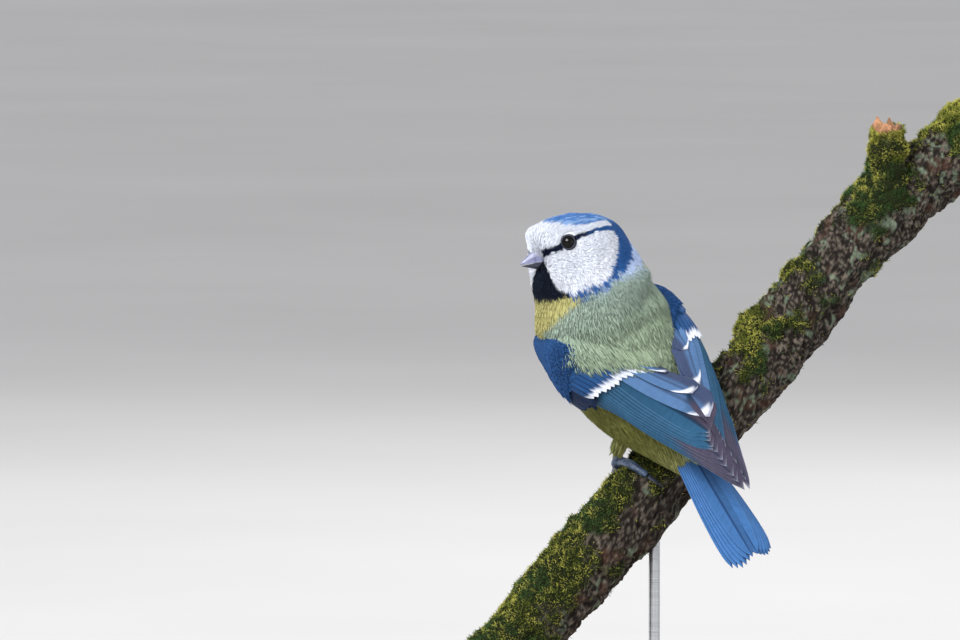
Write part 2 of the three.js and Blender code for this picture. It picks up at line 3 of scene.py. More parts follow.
import bpy
import numpy as np
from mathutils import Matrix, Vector


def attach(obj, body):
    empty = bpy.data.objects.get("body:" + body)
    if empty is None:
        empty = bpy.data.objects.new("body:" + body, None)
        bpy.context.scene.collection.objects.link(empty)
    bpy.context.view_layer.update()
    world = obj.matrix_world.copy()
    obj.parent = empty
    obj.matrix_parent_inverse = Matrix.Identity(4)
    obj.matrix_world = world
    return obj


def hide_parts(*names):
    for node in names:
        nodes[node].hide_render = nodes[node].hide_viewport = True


# A life-size blue tit on a short length of mossy branch, on a plain display stand.
# Shapes are worked out in millimetres in the bird's own frame and then set in the room.
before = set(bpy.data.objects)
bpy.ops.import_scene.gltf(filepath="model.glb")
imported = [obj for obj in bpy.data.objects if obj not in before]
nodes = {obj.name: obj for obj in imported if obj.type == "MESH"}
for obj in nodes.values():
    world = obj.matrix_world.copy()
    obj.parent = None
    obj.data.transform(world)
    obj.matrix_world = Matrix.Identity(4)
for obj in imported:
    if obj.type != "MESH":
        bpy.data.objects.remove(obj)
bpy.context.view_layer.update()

# Body skin
# The real piece is the bird's whole body under its coat, from vent to crown, with no seam.
# It is one closed surface, swept along the bent spine, and lies inside the solids by the coat's depth.
# Rings from vent to crown: middle, half width, depth to the front and to the back in millimetres, and the
# turn of the ring's sides about the spine in degrees.
BODY_RINGS = np.array([
    [-19.6, 0.6, -32.5, 2.2, 1.8, 1.6, 0], [-17.6, 0.5, -27.5, 6, 5.6, 3.8, 0],
    [-14.6, 0.4, -20.5, 10.5, 11.4, 6, 0], [-10.4, 0.2, -12.5, 14.4, 16.8, 8, 0],
    [-5, 0, -4.5, 17, 19.4, 11.4, 0], [0.6, 0, 3.4, 18.2, 20.2, 15.2, 0],
    [4.6, 0.4, 10.5, 18.6, 19.6, 17, 4], [6.4, 1, 17.5, 17.4, 16.8, 17, 16],
    [7, 1.2, 24.5, 14.6, 14, 16.8, 40], [7, 0.2, 31, 11.6, 14.6, 14.4, 60],
    [7.2, -1.3, 36, 10.4, 14, 11.2, 62], [7.4, -2.2, 39.3, 7.6, 10.6, 7.2, 62],
    [7.5, -2.7, 41, 3.2, 4.6, 3.2, 62],
])
HEAD_MIDDLE = np.array([7, 0.2, 31])
# Swells of both cheeks and the forehead, and the hollow of the bill: place, height and reach on the head.
SWELLS = [
    ((10.6, 7.6, -5.6), 1.9, (4.6, 4.6, 4.6)), ((10.6, -7.6, -5.6), 1.9, (4.6, 4.6, 4.6)),
    ((13.6, 0, 3.6), 1.2, (5, 5, 5)), ((13.5, 0, -2.6), -4, (8, 4.8, 2.5)),
]
# Where the bird's frame stands in the room in millimetres, and how far it is turned and leans.
TRUNK_PLACE = np.array([-10.7, -7, 104.3])
BEARING, ROLL = math.radians(135), math.radians(-17)
# Five places along the spine, and their weights in the mean that evens out the folds at the rings.
EVENED_PLACES = ((-1, 1), (-0.5, 2), (0, 3), (0.5, 2), (1, 1))
rng = np.random.default_rng(20)


def unit(vector):
    """The vector divided by its own length."""
    return vector / np.maximum(np.linalg.norm(vector, axis=-1, keepdims=True), 1e-12)


def turned(bearing, roll):
    """Rotation by a roll about the first axis, then by a bearing about the upright one."""
    c, s, d, e = math.cos(bearing), math.sin(bearing), math.cos(roll), math.sin(roll)
    return np.array([[c, -s, 0], [s, c, 0], [0, 0, 1]]) @ np.array([[1, 0, 0], [0, d, -e], [0, e, d]])


BIRD_TURN = turned(BEARING, ROLL)
HEAD_FORWARD = unit(np.array([0.454, 0.852, 0.261]))
HEAD_UP = unit(np.array([0, -0.292, 0.956]))
HEAD_TURN = np.stack([HEAD_FORWARD, np.cross(HEAD_UP, HEAD_FORWARD), HEAD_UP], axis=1)


def in_room(point):
    """A point of the bird's frame, turned and moved into the room, still in millimetres."""
    return point @ BIRD_TURN.T + TRUNK_PLACE


def from_head(point):
    """A point of the head's frame, bill forward and level, in the bird's frame."""
    return np.asarray(point, float) @ HEAD_TURN.T + HEAD_MIDDLE


def in_head(point):
    """The opposite of from_head."""
    return (point - HEAD_MIDDLE) @ np.linalg.inv(HEAD_TURN).T


def circle(count):
    """Angles at equal steps once round."""
    return np.linspace(0, 2 * np.pi, count, endpoint=False)


def spread(first, second):
    """Two arrays, with a row for each value of the first and a column for each of the second."""
    return np.meshgrid(first, second, indexing="ij")


def curve(points, share):
    """Catmull-Rom curve with tension one half: a cubic between each two points, its slope at a point
    half the step from the one before to the one after, and the end steps repeated."""
    padded = np.vstack([2 * points[0] - points[1], points, 2 * points[-1] - points[-2]])
    place = np.asarray(share, float) * (len(points) - 1)
    step = np.clip(np.floor(place).astype(int), 0, len(points) - 2)
    w = (place - step)[..., None]
    before, here, there, after = (padded[step + k] for k in range(4))
    leave, arrive = 0.5 * (there - before), 0.5 * (after - here)
    bend = -3 * here + 3 * there - 2 * leave - arrive
    return here + leave * w + bend * w**2 + (2 * here - 2 * there + leave + arrive) * w**3


def direction(points, along):
    """Direction of the curve through the points, from a short step either way."""
    step = 1e-4
    return unit(curve(points, np.minimum(along + step, 1)) - curve(points, np.maximum(along - step, 0)))


def spine_axis(along):
    """The spine's direction, from vent to crown."""
    return direction(BODY_RINGS[:, :3], along)


def ring_point(along, angle):
    """Ring middle, plus depth times cos(angle) to the front, plus width times sin(angle) to the left.
    The ring's sides are turned about the spine, and swells are bells of the distance from their places."""
    ring = curve(BODY_RINGS, along)
    axis = spine_axis(along)
    left = unit(np.array([0, 1, 0]) - axis * axis[..., 1:2])
    turn = np.radians(ring[..., 6:7])
    left = left * np.cos(turn) + np.cross(axis, left) * np.sin(turn)
    front = np.cross(left, axis)
    c, s = np.cos(angle)[..., None], np.sin(angle)[..., None]
    depth = np.where(c > 0, ring[..., 4:5], ring[..., 5:6])
    point = ring[..., :3] + front * depth * c + left * ring[..., 3:4] * s
    head = in_head(point)
    swell = sum(
        height * np.exp(-(((head - place) / reach) ** 2).sum(-1, keepdims=True))
        for place, height, reach in SWELLS
    )
    return point + unit(point - HEAD_MIDDLE) * swell


def skin_point(along, angle):
    """The mean of five ring points a little apart along the spine, by their weights."""
    along, angle = np.broadcast_arrays(np.asarray(along, float), np.asarray(angle, float))
    reach = np.minimum(0.035, np.minimum(along, 1 - along))
    return sum(w * ring_point(along + k * reach, angle) for k, w in EVENED_PLACES) / 9


def skin_normal(along, angle):
    """Outward normal, from short steps along the spine and round it."""
    step = 1e-3
    ahead, behind = np.minimum(along + step, 1), np.maximum(along - step, 0)
    lengthwise = skin_point(ahead, angle) - skin_point(behind, angle)
    around = skin_point(along, angle + step) - skin_point(along, angle - step)
    return unit(np.cross(around, lengthwise))


def coat_depth(along):
    """How far the skin lies under the coat: thin on the head, deeper on the body, thin again at the vent."""
    return np.interp(along, [0, 0.08, 0.3, 0.6, 0.72, 1], [0.3, 0.9, 1.6, 1.5, 0.75, 0.65])


# The wing's guides in the bird's frame, each from shoulder to tip: along the back, over the middle and
# along the lower edge.
WING_GUIDES = np.array([
    [[9, 10, 13], [-3, 10.6, 8.6], [-13, 6.6, 1.6], [-20.5, 0.5, -7], [-27.2, -1, -16.4],
     [-35.2, -0.8, -34]],
    [[15.5, 15, 13.5], [3, 19.8, 10], [-9, 18.8, 2.6], [-16.5, 15.4, -9], [-24.6, 8.6, -22],
     [-35, 1.6, -34.8]],
    [[16.2, 15.6, 7], [6.6, 17.8, -2.4], [-6, 17.2, -10.4], [-18, 13.4, -17], [-28, 8.4, -24.6],
     [-36, 2.6, -35]],
])
# The bell that makes the shoulder fuller: its place and reach along and across the wing, and its height.
SHOULDER_PLACE, SHOULDER_REACH, SHOULDER_HEIGHT = (0.14, 0.35), (0.16, 0.4), 1.6
# For each wing: its side, how far its shoulder hangs, where its front half starts, the numbers its tiers are
# made from, how much lighter its vanes, its front half and its lesser coverts are, and the edge of the
# back's plumage over it, as places along the wing against places across.
WINGS = {
    "left": {
        "side": 1, "drop": 1.6, "starts": 0.0, "tiers": (0.84, 0.2, 1.9, 1, 0), "light": (1, 1, 1.15),
        "mantle": ([0, 0.09, 0.2, 0.3, 0.36, 0.4, 0.42, 0.44],
                   [0.32, 0.38, 0.47, 0.5, 0.42, 0.25, 0.1, -0.1]),
    },
    # The right wing's larger numbers are painted light: its vanes, front half and lesser coverts are
    # lightened, though both wings are alike.
    "right": {
        "side": -1, "drop": -1.6, "starts": 0.09, "tiers": (0.93, 0.5, 2.4, 0.45, 0.14),
        "light": (1.3, 1.6, 1.7),
        "mantle": ([0, 0.06, 0.19, 0.25, 0.31, 0.35, 0.37], [0.2, 0.26, 0.3, 0.28, 0.15, 0.04, -0.1]),
    },
}


def wing_point(along, across, drop):
    """Quadratic through the back, middle and lower guides, dropped by less and less towards the tip."""
    weights = ((1 - across) * (1 - 2 * across), 4 * across * (1 - across), across * (2 * across - 1))
    point = sum(w[..., None] * curve(g, along) for w, g in zip(weights, WING_GUIDES))
    return point - np.stack([0 * along, 0 * along, drop * (1 - along)], axis=-1)


def wing_lifted(along, across, drop, height):
    """A point of the wing's face, raised off it, and fuller over the shoulder by a bell."""
    along, across, height = np.broadcast_arrays(along, across, height)
    step = 0.01
    start = np.clip(along, step, 1 - step)
    lengthwise = wing_point(start, across, drop) - wing_point(start - step, across, drop)
    down = wing_point(along, across + step, drop) - wing_point(along, across - step, drop)
    normal = unit(np.cross(down, lengthwise))
    away = [(p - at) / reach for p, at, reach in zip((along, across), SHOULDER_PLACE, SHOULDER_REACH)]
    bump = SHOULDER_HEIGHT * np.exp(-(away[0] ** 2) - away[1] ** 2)
    return wing_point(along, across, drop) + normal * (height + bump)[..., None], normal


MANTLE_ROWS, MANTLE_COLUMNS, MANTLE_REACH, MANTLE_OVER_WING = 110, 120, 2.4, 2.7


def mantle_rise():
    """How far the back's plumage stands over the trunk where it covers the wings, on a grid of the skin:
    the mean height of the wing's nearby points over the skin, weighted by a bell of their sideways distance,
    and then evened out by nine rounds of a mean of three neighbours."""
    a, g = spread(np.linspace(0, 1, MANTLE_ROWS), circle(MANTLE_COLUMNS))
    base, normal = skin_point(a, g).reshape(-1, 3), skin_normal(a, g).reshape(-1, 3)
    total, height = np.full(a.size, 1e-3), np.zeros(a.size)
    for wing in WINGS.values():
        u, v = spread(np.linspace(0.0, 0.45, 30), np.linspace(0, 1, 14))
        edge = np.interp(u, *wing["mantle"])
        v = v * edge
        covered = (v >= 0) & (edge > 0.01)
        face = wing_lifted(u, v, wing["drop"], MANTLE_OVER_WING)[0][covered] * [1, wing["side"], 1]
        up = face @ normal.T - (base * normal).sum(-1)
        away = (face**2).sum(-1)[:, None] + (base**2).sum(-1) - 2 * face @ base.T
        weight = np.exp((up**2 - away) / MANTLE_REACH**2) * (up > -2) * (up < 12)
        total, height = total + weight.sum(0), height + (weight * up).sum(0)
    rise = (height / total * np.clip(total / 1.2 - 0.2, 0, 1)).reshape(a.shape)
    row = np.arange(MANTLE_ROWS)
    above, below = np.maximum(row - 1, 0), np.minimum(row + 1, MANTLE_ROWS - 1)
    for _ in range(9):
        rise = (np.roll(rise, 1, 1) + 2 * rise + np.roll(rise, -1, 1)) / 4
        rise = (rise[above] + 2 * rise + rise[below]) / 4
    return rise


MANTLE_RISE = mantle_rise()


def mantle_lift(along, angle):
    """The grid of mantle_rise, blended between its nearest four places and never under nought."""
    rows, columns = MANTLE_RISE.shape
    row = np.clip(along * (rows - 1), 0, rows - 1.001)
    column = (angle / (2 * np.pi) * columns) % columns
    r, c = np.floor(row).astype(int), np.floor(column).astype(int) % columns
    w, k, following = row - r, column - np.floor(column), (c + 1) % columns
    low = MANTLE_RISE[r, c] * (1 - k) + MANTLE_RISE[r, following] * k
    high = MANTLE_RISE[r + 1, c] * (1 - k) + MANTLE_RISE[r + 1, following] * k
    return np.maximum(low * (1 - w) + high * w, 0)


def coat_base(along, angle, depth):
    """The body under its coat: lifted over the wings, and sunk by the coat's depth."""
    sunk = mantle_lift(along, angle) - depth
    return skin_point(along, angle) + skin_normal(along, angle) * sunk[..., None]


def coat_normal_at(along, angle):
    """Outward normal of coat_base, from short steps."""
    step, turn = 4e-3, 0.02
    ahead, behind = np.clip(along + step, 0, 1), np.clip(along - step, 0, 1)
    lengthwise = coat_base(ahead, angle, 0) - coat_base(behind, angle, 0)
    around = coat_base(along, angle + turn, 0) - coat_base(along, angle - turn, 0)
    return unit(np.cross(around, lengthwise))


def lattice(point, size, seed):
    """Smooth random values from 0 to 1 on a cube lattice of that size, blended between its corners."""
    table = np.random.default_rng(seed).random(4096)
    place = np.asarray(point) / size
    cell = np.floor(place).astype(np.int64)
    w = place - cell
    w = w * w * (3 - 2 * w)
    value = 0
    for corner in range(8):
        bit = np.array([corner & 1, corner >> 1 & 1, corner >> 2 & 1])
        key = ((cell + bit) * np.array([73856093, 19349663, 83492791])).sum(-1) & 4095
        value = value + table[key] * np.prod(np.where(bit, w, 1 - w), axis=-1)
    return value


def srgb(red, green, blue):
    """A colour named by its screen values from 0 to 255, as light."""
    return (np.array([red, green, blue]) / 255.0) ** 2.2


def soft(amount, width):
    """0 below, 1 above, with a smooth step of that width about nought."""
    share = np.clip(0.5 + amount / width, 0, 1)
    return (share * share * (3 - 2 * share))[..., None]


def lay(colour, *layers):
    """The colour, with each layer laid over it in turn as thickly as its mask says, from 0 to 1."""
    for layer, mask in layers:
        colour = colour + (layer - colour) * mask
    return colour


WHITE, FAR_WHITE = srgb(240, 243, 252), srgb(214, 224, 240)
CAP_BLUE, CAP_PALE = srgb(88, 138, 206), srgb(150, 186, 232)
STRIPE, COLLAR, COLLAR_TOP = srgb(20, 30, 54), srgb(48, 96, 160), srgb(66, 112, 174)
BIB = srgb(20, 30, 46)
NAPE = srgb(198, 217, 252)
MANTLE, MANTLE_GREEN, MANTLE_GREY = srgb(158, 176, 154), srgb(156, 172, 138), srgb(158, 176, 164)
# The belly colour is the belly's own olive yellow, darkened further as painted shade for the underside; the
# leg feathers take it too.
YELLOW, BELLY_WITH_SHADE, VENT = srgb(192, 186, 122), srgb(118, 120, 64), srgb(150, 152, 96)
BELLY_LINE = srgb(80, 92, 96)

# The edges of the face pattern, as bearing from the bill against height above the head's middle, in degrees.
CAP_EDGE = np.array([[0, 36], [21, 38], [54, 39], [67, 41], [83, 44], [99, 47], [114, 50], [180, 52]]).T
STRIPE_TOP = np.array([
    [18, 0], [23, 3], [30, 5], [37, 9], [43, 13], [47, 18], [59, 24], [73, 30], [84, 34], [96, 37],
    [114, 40], [132, 41], [180, 42],
]).T
STRIPE_FOOT = np.array([
    [18, -7], [24, -4], [31, -1], [38, 2], [49, 7], [58, 14], [67, 20], [75, 24], [86, 29], [98, 32],
    [110, 32], [121, 28], [127, 23], [128, -90], [180, -90],
]).T
COLLAR_TOP_EDGE = np.array([
    [54, -38], [61, -38], [67, -36], [76, -33], [86, -31], [94, -28], [102, -22], [108, -15], [114, -8],
    [121, 2], [125, 12], [127, 23], [129, 60], [180, 60],
]).T
COLLAR_FOOT = np.array([
    [0, -45], [20, -44], [38, -42], [49, -41.5], [63, -41], [71, -39], [80, -36.5], [89, -33], [98, -29],
    [105, -25], [113, -21], [121, -17], [130, -11], [140, -5], [150, 4], [156, 12], [164, 18], [180, 22],
]).T
BIB_EDGE = np.array([
    [0, -6], [12, -8], [21, -11], [25, -14], [31, -17], [34, -23], [39, -29], [44, -34], [50, -37],
    [59, -39.5],
]).T
FAR_BIB_SHIFT = 20
NAPE_FOOT = np.array([
    [85, -38], [96, -32], [103, -26], [113, -22], [124, -19], [138, -15], [153, -11], [180, -6],
]).T
# Where the yellow of the front meets the green of the back: along the spine against degrees round it.
YELLOW_EDGE = np.array([
    [0, 160], [0.2, 140], [0.35, 122], [0.45, 92], [0.53, 64], [0.567, 67], [0.575, 79], [0.602, 93],
    [0.629, 111], [0.644, 122], [0.7, 150],
]).T


def coat_colour(point, along, angle):
    """The bird's markings at a place of the skin: face bands by bearing and height on the head, then back,
    breast and belly by how far round the trunk the place is. Edges are ragged by a few degrees."""
    head = in_head(point)
    ragged = (lattice(point, 0.9, 1) - 0.5) * 5
    turned_by = np.degrees(np.arctan2(head[..., 1], head[..., 0]))
    bearing = np.abs(turned_by)
    bib_bearing = np.where(turned_by < 0, bearing + FAR_BIB_SHIFT, bearing)
    height = np.degrees(np.arctan2(head[..., 2], np.hypot(head[..., 0], head[..., 1]))) + ragged
    streak, patch = lattice(head * np.array([0.35, 1, 1]), 0.7, 2), lattice(point, 5, 3)[..., None]

    def over(edge):
        """Height over an edge of the face pattern."""
        return height - np.interp(bearing, *edge)

    around = np.degrees(angle) + curve(BODY_RINGS, along)[..., 6]
    around = np.abs((around + 180) % 360 - 180)
    back = lay(MANTLE, (MANTLE_GREY, soft(along - 0.56, 0.22))) + (patch - 0.5) * 0.05
    back = lay(back, (MANTLE_GREEN, soft(0.4 - along, 0.3) * 0.6))
    line = soft(7 - around, 6) * soft(along - 0.12, 0.05) * soft(0.46 - along, 0.06)
    front = lay(BELLY_WITH_SHADE, (YELLOW, soft(along - 0.42, 0.3)), (VENT, soft(0.13 - along, 0.1)),
                (BELLY_LINE, line * 0.7))
    over_wing = soft(mantle_lift(along, angle) - 0.9, 1.2)[..., 0]
    behind = around - np.interp(along, *YELLOW_EDGE) + ragged + 60 * over_wing
    body = lay(front, (back, soft(behind, 9)), (NAPE, soft(over(NAPE_FOOT), 9) * soft(bearing - 92, 16)))

    collar = lay(COLLAR, (COLLAR_TOP, soft(height - 4, 26)))
    bib = soft(np.interp(bib_bearing, *BIB_EDGE) - height, 3) * soft(56 - bib_bearing, 4)
    stripe = soft(over(STRIPE_FOOT), 2.4) * soft(-over(STRIPE_TOP), 2.4) * soft(bearing - 17, 4)
    dark = lay(STRIPE, (COLLAR, soft(bearing - 84, 30)))
    cap = lay(CAP_BLUE, (CAP_PALE, soft(streak - 0.62, 0.3)))
    face = lay(WHITE, (FAR_WHITE, patch * 0.3), (collar, soft(-over(COLLAR_TOP_EDGE), 3)), (BIB, bib),
               (dark, stripe), (cap, soft(over(CAP_EDGE), 5)))
    return np.clip(lay(body, (face, soft(over(COLLAR_FOOT), 3))), 0.002, 1)


class Wire:
    """A value in a material. Arithmetic on it adds Math nodes."""

    def __init__(self, paint, socket):
        self.paint, self.socket = paint, socket

    def math(self, operation, first, second=0.0):
        return self.paint.node("ShaderNodeMath", {"operation": operation}, {0: first, 1: second})

    def __add__(self, other):
        return self.math("ADD", self, other)

    def __radd__(self, other):
        return self.math("ADD", other, self)

    def __sub__(self, other):
        return self.math("SUBTRACT", self, other)

    def __rsub__(self, other):
        return self.math("SUBTRACT", other, self)

    def __mul__(self, other):
        return self.math("MULTIPLY", self, other)

    def __rmul__(self, other):
        return self.math("MULTIPLY", other, self)

    def __abs__(self):
        return self.math("ABSOLUTE", self)


class Paint:
    """A material being mixed. node() adds any node; its settings go in first, then its sockets."""

    def __init__(self, name, **sockets):
        self.material = bpy.data.materials.new(name)
        self.material.use_nodes = True
        self.tree = self.material.node_tree
        self.shader = self.tree.nodes["Principled BSDF"]
        for socket, value in sockets.items():
            self.shader.inputs[socket.replace("_", " ")].default_value = value

    def node(self, kind, settings=None, sockets=None, out=0):
        node = self.tree.nodes.new(kind)
        for name, value in (settings or {}).items():
            if name == "stops":
                ramp = node.color_ramp.elements
                while len(ramp) < len(value):
                    ramp.new(0.5)
                for element, (place, colour) in zip(ramp, value):
                    element.position, element.color = place, (*colour, 1)
            else:
                setattr(node, name, value)
        for name, value in (sockets or {}).items():
            if isinstance(value, Wire):
                self.tree.links.new(value.socket, node.inputs[name])
            else:
                node.inputs[name].default_value = value
        return Wire(self, node.outputs[out])

    def noise(self, where, scale, detail=3, rough=0.55):
        return self.node("ShaderNodeTexNoise", {}, {"Vector": where, "Scale": scale, "Detail": detail,
                                                   "Roughness": rough})

    def object_place(self):
        return self.node("ShaderNodeTexCoord", {}, {}, "Object")

    def attribute(self, name):
        return self.node("ShaderNodeAttribute", {"attribute_name": name}, {}, "Color")

    def blend(self, factor, first, second, mode="MIX"):
        sockets = {0: factor, 6: first, 7: second}
        return self.node("ShaderNodeMix", {"data_type": "RGBA", "blend_type": mode}, sockets, 2)

    def shade(self, colour, amount):
        """The colour times a grey amount."""
        grey = self.node("ShaderNodeCombineColor", {}, {0: amount, 1: amount, 2: amount})
        return self.blend(1.0, colour, grey, "MULTIPLY")

    def ramp(self, factor, *stops):
        return self.node("ShaderNodeValToRGB", {"stops": stops}, {0: factor})

    def range(self, value, low, high, new_low=0.0, new_high=1.0):
        return self.node("ShaderNodeMapRange", {}, {0: value, 1: low, 2: high, 3: new_low, 4: new_high})

    def finish(self, colour, roughness=None, bump=None, strength=0.3, distance=0.0002):
        self.tree.links.new(colour.socket, self.shader.inputs["Base Color"])
        if roughness is not None:
            self.tree.links.new(roughness.socket, self.shader.inputs["Roughness"])
        if bump is not None:
            sockets = {"Height": bump, "Strength": strength, "Distance": distance}
            normal = self.node("ShaderNodeBump", {}, sockets)
            self.tree.links.new(normal.socket, self.shader.inputs["Normal"])
        return self.material


def make_piece(name, points, faces, material, replaced=(), tint=None, maps=None):
    """A mesh from an array of points in millimetres in the room and one of faces with equal counts.
    tint is a colour for each point, and maps holds a pair of numbers for each point by map name."""
    points = np.asarray(points).reshape(-1, 3)
    faces = np.asarray(faces)
    mesh = bpy.data.meshes.new(name)
    mesh.vertices.add(len(points))
    mesh.vertices.foreach_set("co", (points * 0.001).astype(np.float32).ravel())
    mesh.loops.add(faces.size)
    mesh.loops.foreach_set("vertex_index", faces.astype(np.int32).ravel())
    mesh.polygons.add(len(faces))
    mesh.polygons.foreach_set("loop_start", np.arange(0, faces.size, faces.shape[1], dtype=np.int32))
    mesh.update(calc_edges=True)
    mesh.polygons.foreach_set("use_smooth", np.ones(len(faces), bool))
    if tint is not None:
        colours = np.ones((len(points), 4), np.float32)
        colours[:, :3] = tint.reshape(-1, 3)
        mesh.color_attributes.new("tint", "FLOAT_COLOR", "POINT").data.foreach_set("color", colours.ravel())
    for label, pair in (maps or {}).items():
        layer = mesh.uv_layers.new(name=label)
        layer.uv.foreach_set("vector", pair.reshape(-1, 2)[faces.ravel()].astype(np.float32).ravel())
    mesh.materials.append(material)
    piece = bpy.data.objects.new(name, mesh)
    bpy.context.scene.collection.objects.link(piece)
    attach(piece, "root")
    if replaced:
        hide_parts(*replaced)
    return piece


def tube_faces(rings, around):
    """Quads between rings of equal count, each joined to itself, as an array."""
    ring, place = spread(np.arange(rings - 1), np.arange(around))
    here, there = ring * around + place, ring * around + (place + 1) % around
    return np.stack([here, there, there + around, here + around], axis=-1).reshape(-1, 4)


def closed_tube(rings):
    """Points and triangles of a tube through rings, each end closed by a fan to its middle."""
    count, around = rings.shape[:2]
    quads = tube_faces(count, around)
    sides = np.concatenate([quads[:, [0, 1, 2]], quads[:, [0, 2, 3]]])
    points = np.concatenate([rings.reshape(-1, 3), rings[0].mean(0)[None], rings[-1].mean(0)[None]])
    step = np.arange(around)
    first, last = count * around, count * around + 1
    start = np.stack([np.full(around, first), (step + 1) % around, step], axis=1)
    top = (count - 1) * around
    end = np.stack([np.full(around, last), top + step, top + (step + 1) % around], axis=1)
    return points, np.concatenate([sides, start, end])


def plumage_paint(name):
    """Soft matte feathering: the piece's own tint, broken up by fine noise."""
    paint = Paint(name, Roughness=0.8, Specular_IOR_Level=0.2)
    place = paint.object_place()
    fine = paint.noise(place, 1500)
    broad = paint.noise(place, 180)
    amount = paint.range(fine, 0.25, 0.75, 0.9, 1.1) * paint.range(broad, 0.3, 0.7, 0.95, 1.05)
    colour = paint.shade(paint.attribute("tint"), amount)
    return paint.finish(colour, bump=fine, strength=0.25, distance=0.00008)


def in_map(place):
    """A place of an unwrap from 0 to 1, drawn in a little from the map's edges."""
    return place * 0.98 + 0.01


plumage = plumage_paint("plumage")
SKIN_RINGS, SKIN_AROUND, SKIN_PAINTED_SHADE = 220, 180, 0.85
skin_along, skin_angle = spread(np.linspace(0, 1, SKIN_RINGS), circle(SKIN_AROUND))
skin_points, skin_faces = closed_tube(coat_base(skin_along, skin_angle, coat_depth(skin_along)))
skin_along = np.concatenate([skin_along.ravel(), [0, 1]])
skin_angle = np.concatenate([skin_angle.ravel(), [0, 0]])
# Painted shade: the skin wears the coat's markings darkened, for the shadowed gaps between the feathers.
skin_tint = coat_colour(skin_points, skin_along, skin_angle) * SKIN_PAINTED_SHADE
skin_map = in_map(np.stack([skin_angle / (2 * np.pi), skin_along], axis=-1))
make_piece("body_skin", in_room(skin_points), skin_faces[:, ::-1], plumage,
           ("head", "neck", "torso"), skin_tint, {"OFBake": skin_map})

# Body coat
# Small soft feathers over the head, neck and trunk, shortest on the face and longest on the flanks.
# Each is a thin closed leaf, rooted in the skin, that lies back from the bill and on towards the tail.
EYE_PLACE, EYE_RADIUS, EYE_LOOKS = np.array([6.5, 8.1, 2.9]), 2.35, np.array([0.4, 0.9, 0.12])
BILL_ROOT = (11.5, 0, -2.4)
LEAF_STEPS = np.array([0, 0.42, 0.78])
LEAF_WIDTHS = np.array([0.75, 1, 0.62])
LEAF_POINTS, LEAF_PATCH = 3 * len(LEAF_STEPS) + 1, 0.003


def leaf_faces(count):
    """Triangles of count closed leaves: three sides between each two rings, a root and a pointed tip."""
    sides = [
        corners
        for ring in range(len(LEAF_STEPS) - 1) for i in range(3)
        for corners in (
            (3 * ring + i, 3 * ring + (i + 1) % 3, 3 * ring + 3 + (i + 1) % 3),
            (3 * ring + i, 3 * ring + 3 + (i + 1) % 3, 3 * ring + 3 + i),
        )
    ]
    last = 3 * (len(LEAF_STEPS) - 1)
    sides += [(last + i, last + (i + 1) % 3, LEAF_POINTS - 1) for i in range(3)] + [(0, 2, 1)]
    return (np.arange(count)[:, None, None] * LEAF_POINTS + np.array(sides)).reshape(-1, 3)


def leaves(root, lie, normal, length, width, rise, thick=0.35):
    """Closed leaves: the spine leaves the root along the lie and rises by rise times its length, bending
    down towards the tip; left and right edges stand off by the width, and the top by the thickness."""
    side = unit(np.cross(normal, lie))
    t = LEAF_STEPS[None, :, None]
    long, wide, up = length[:, None, None], (width / 2)[:, None, None], rise[:, None, None]
    lift = up * long * t * (1.7 - 0.8 * t)
    spine = root[:, None] + lie[:, None] * long * t + normal[:, None] * lift
    profile = LEAF_WIDTHS[None, :, None] * wide
    left = spine - side[:, None] * profile
    right = spine + side[:, None] * profile
    top = spine + normal[:, None] * profile * 2 * thick
    rings = np.stack([left, right, top], axis=2).reshape(len(root), -1, 3)
    tip = root + lie * length[:, None] + normal * (rise * length * 0.9)[:, None]
    return np.concatenate([rings, tip[:, None]], axis=1)


def leaf_map(place):
    """Each leaf is a patch LEAF_PATCH across at its root's place on the skin's own unwrap."""
    across = np.tile([0.0, 1.0, 0.5], len(LEAF_STEPS)).tolist() + [0.5]
    along = np.repeat(LEAF_STEPS, 3).tolist() + [1.0]
    patch = LEAF_PATCH * (np.stack([across, along], axis=-1) - 0.5)
    return in_map(place)[:, None] + patch[None]


def scattered(density, count, seed, cells=240):
    """Random places on the skin as (along, angle), as many to each square millimetre as density asks."""
    draw = np.random.default_rng(seed)
    middles = (np.arange(cells) + 0.5) / cells
    a, g = spread(middles, middles * 2 * np.pi)
    step_a, step_g = 0.5 / cells, np.pi / cells
    lengthwise = skin_point(a + step_a, g) - skin_point(a - step_a, g)
    around = skin_point(a, g + step_g) - skin_point(a, g - step_g)
    weight = np.linalg.norm(np.cross(lengthwise, around), axis=-1) * density(a, g)
    total = np.cumsum(weight.ravel())
    cell = np.searchsorted(total, draw.random(count) * total[-1])
    along = (cell // cells + draw.random(count)) / cells
    angle = (cell % cells + draw.random(count)) / cells * 2 * np.pi
    return along, angle


def along_face(lie, normal):
    """The lie, pressed flat against the face that the normal stands on."""
    return unit(lie - normal * (lie * normal).sum(-1, keepdims=True))


def coat_lie(point, normal, along):
    """On the head away from the bill, on the trunk down the spine, blended on the neck, along the skin."""
    from_bill = unit(point - from_head(BILL_ROOT))
    on_head = soft(along - 0.69, 0.16)
    lie = from_bill * on_head - spine_axis(along) * (1 - on_head)
    return along_face(lie, normal)


def swayed(lie, normal, amount, draw):
    """The lie turned about the normal by a small random angle."""
    turn = (draw.standard_normal(len(lie)) * amount)[:, None]
    return unit(lie * np.cos(turn) + np.cross(normal, lie) * np.sin(turn))


def away_from_eyes(point):
    """Distance from the nearer eye's middle."""
    both = [np.linalg.norm(point - from_head(EYE_PLACE * [1, side, 1]), axis=-1) for side in (1, -1)]
    return np.minimum(*both)


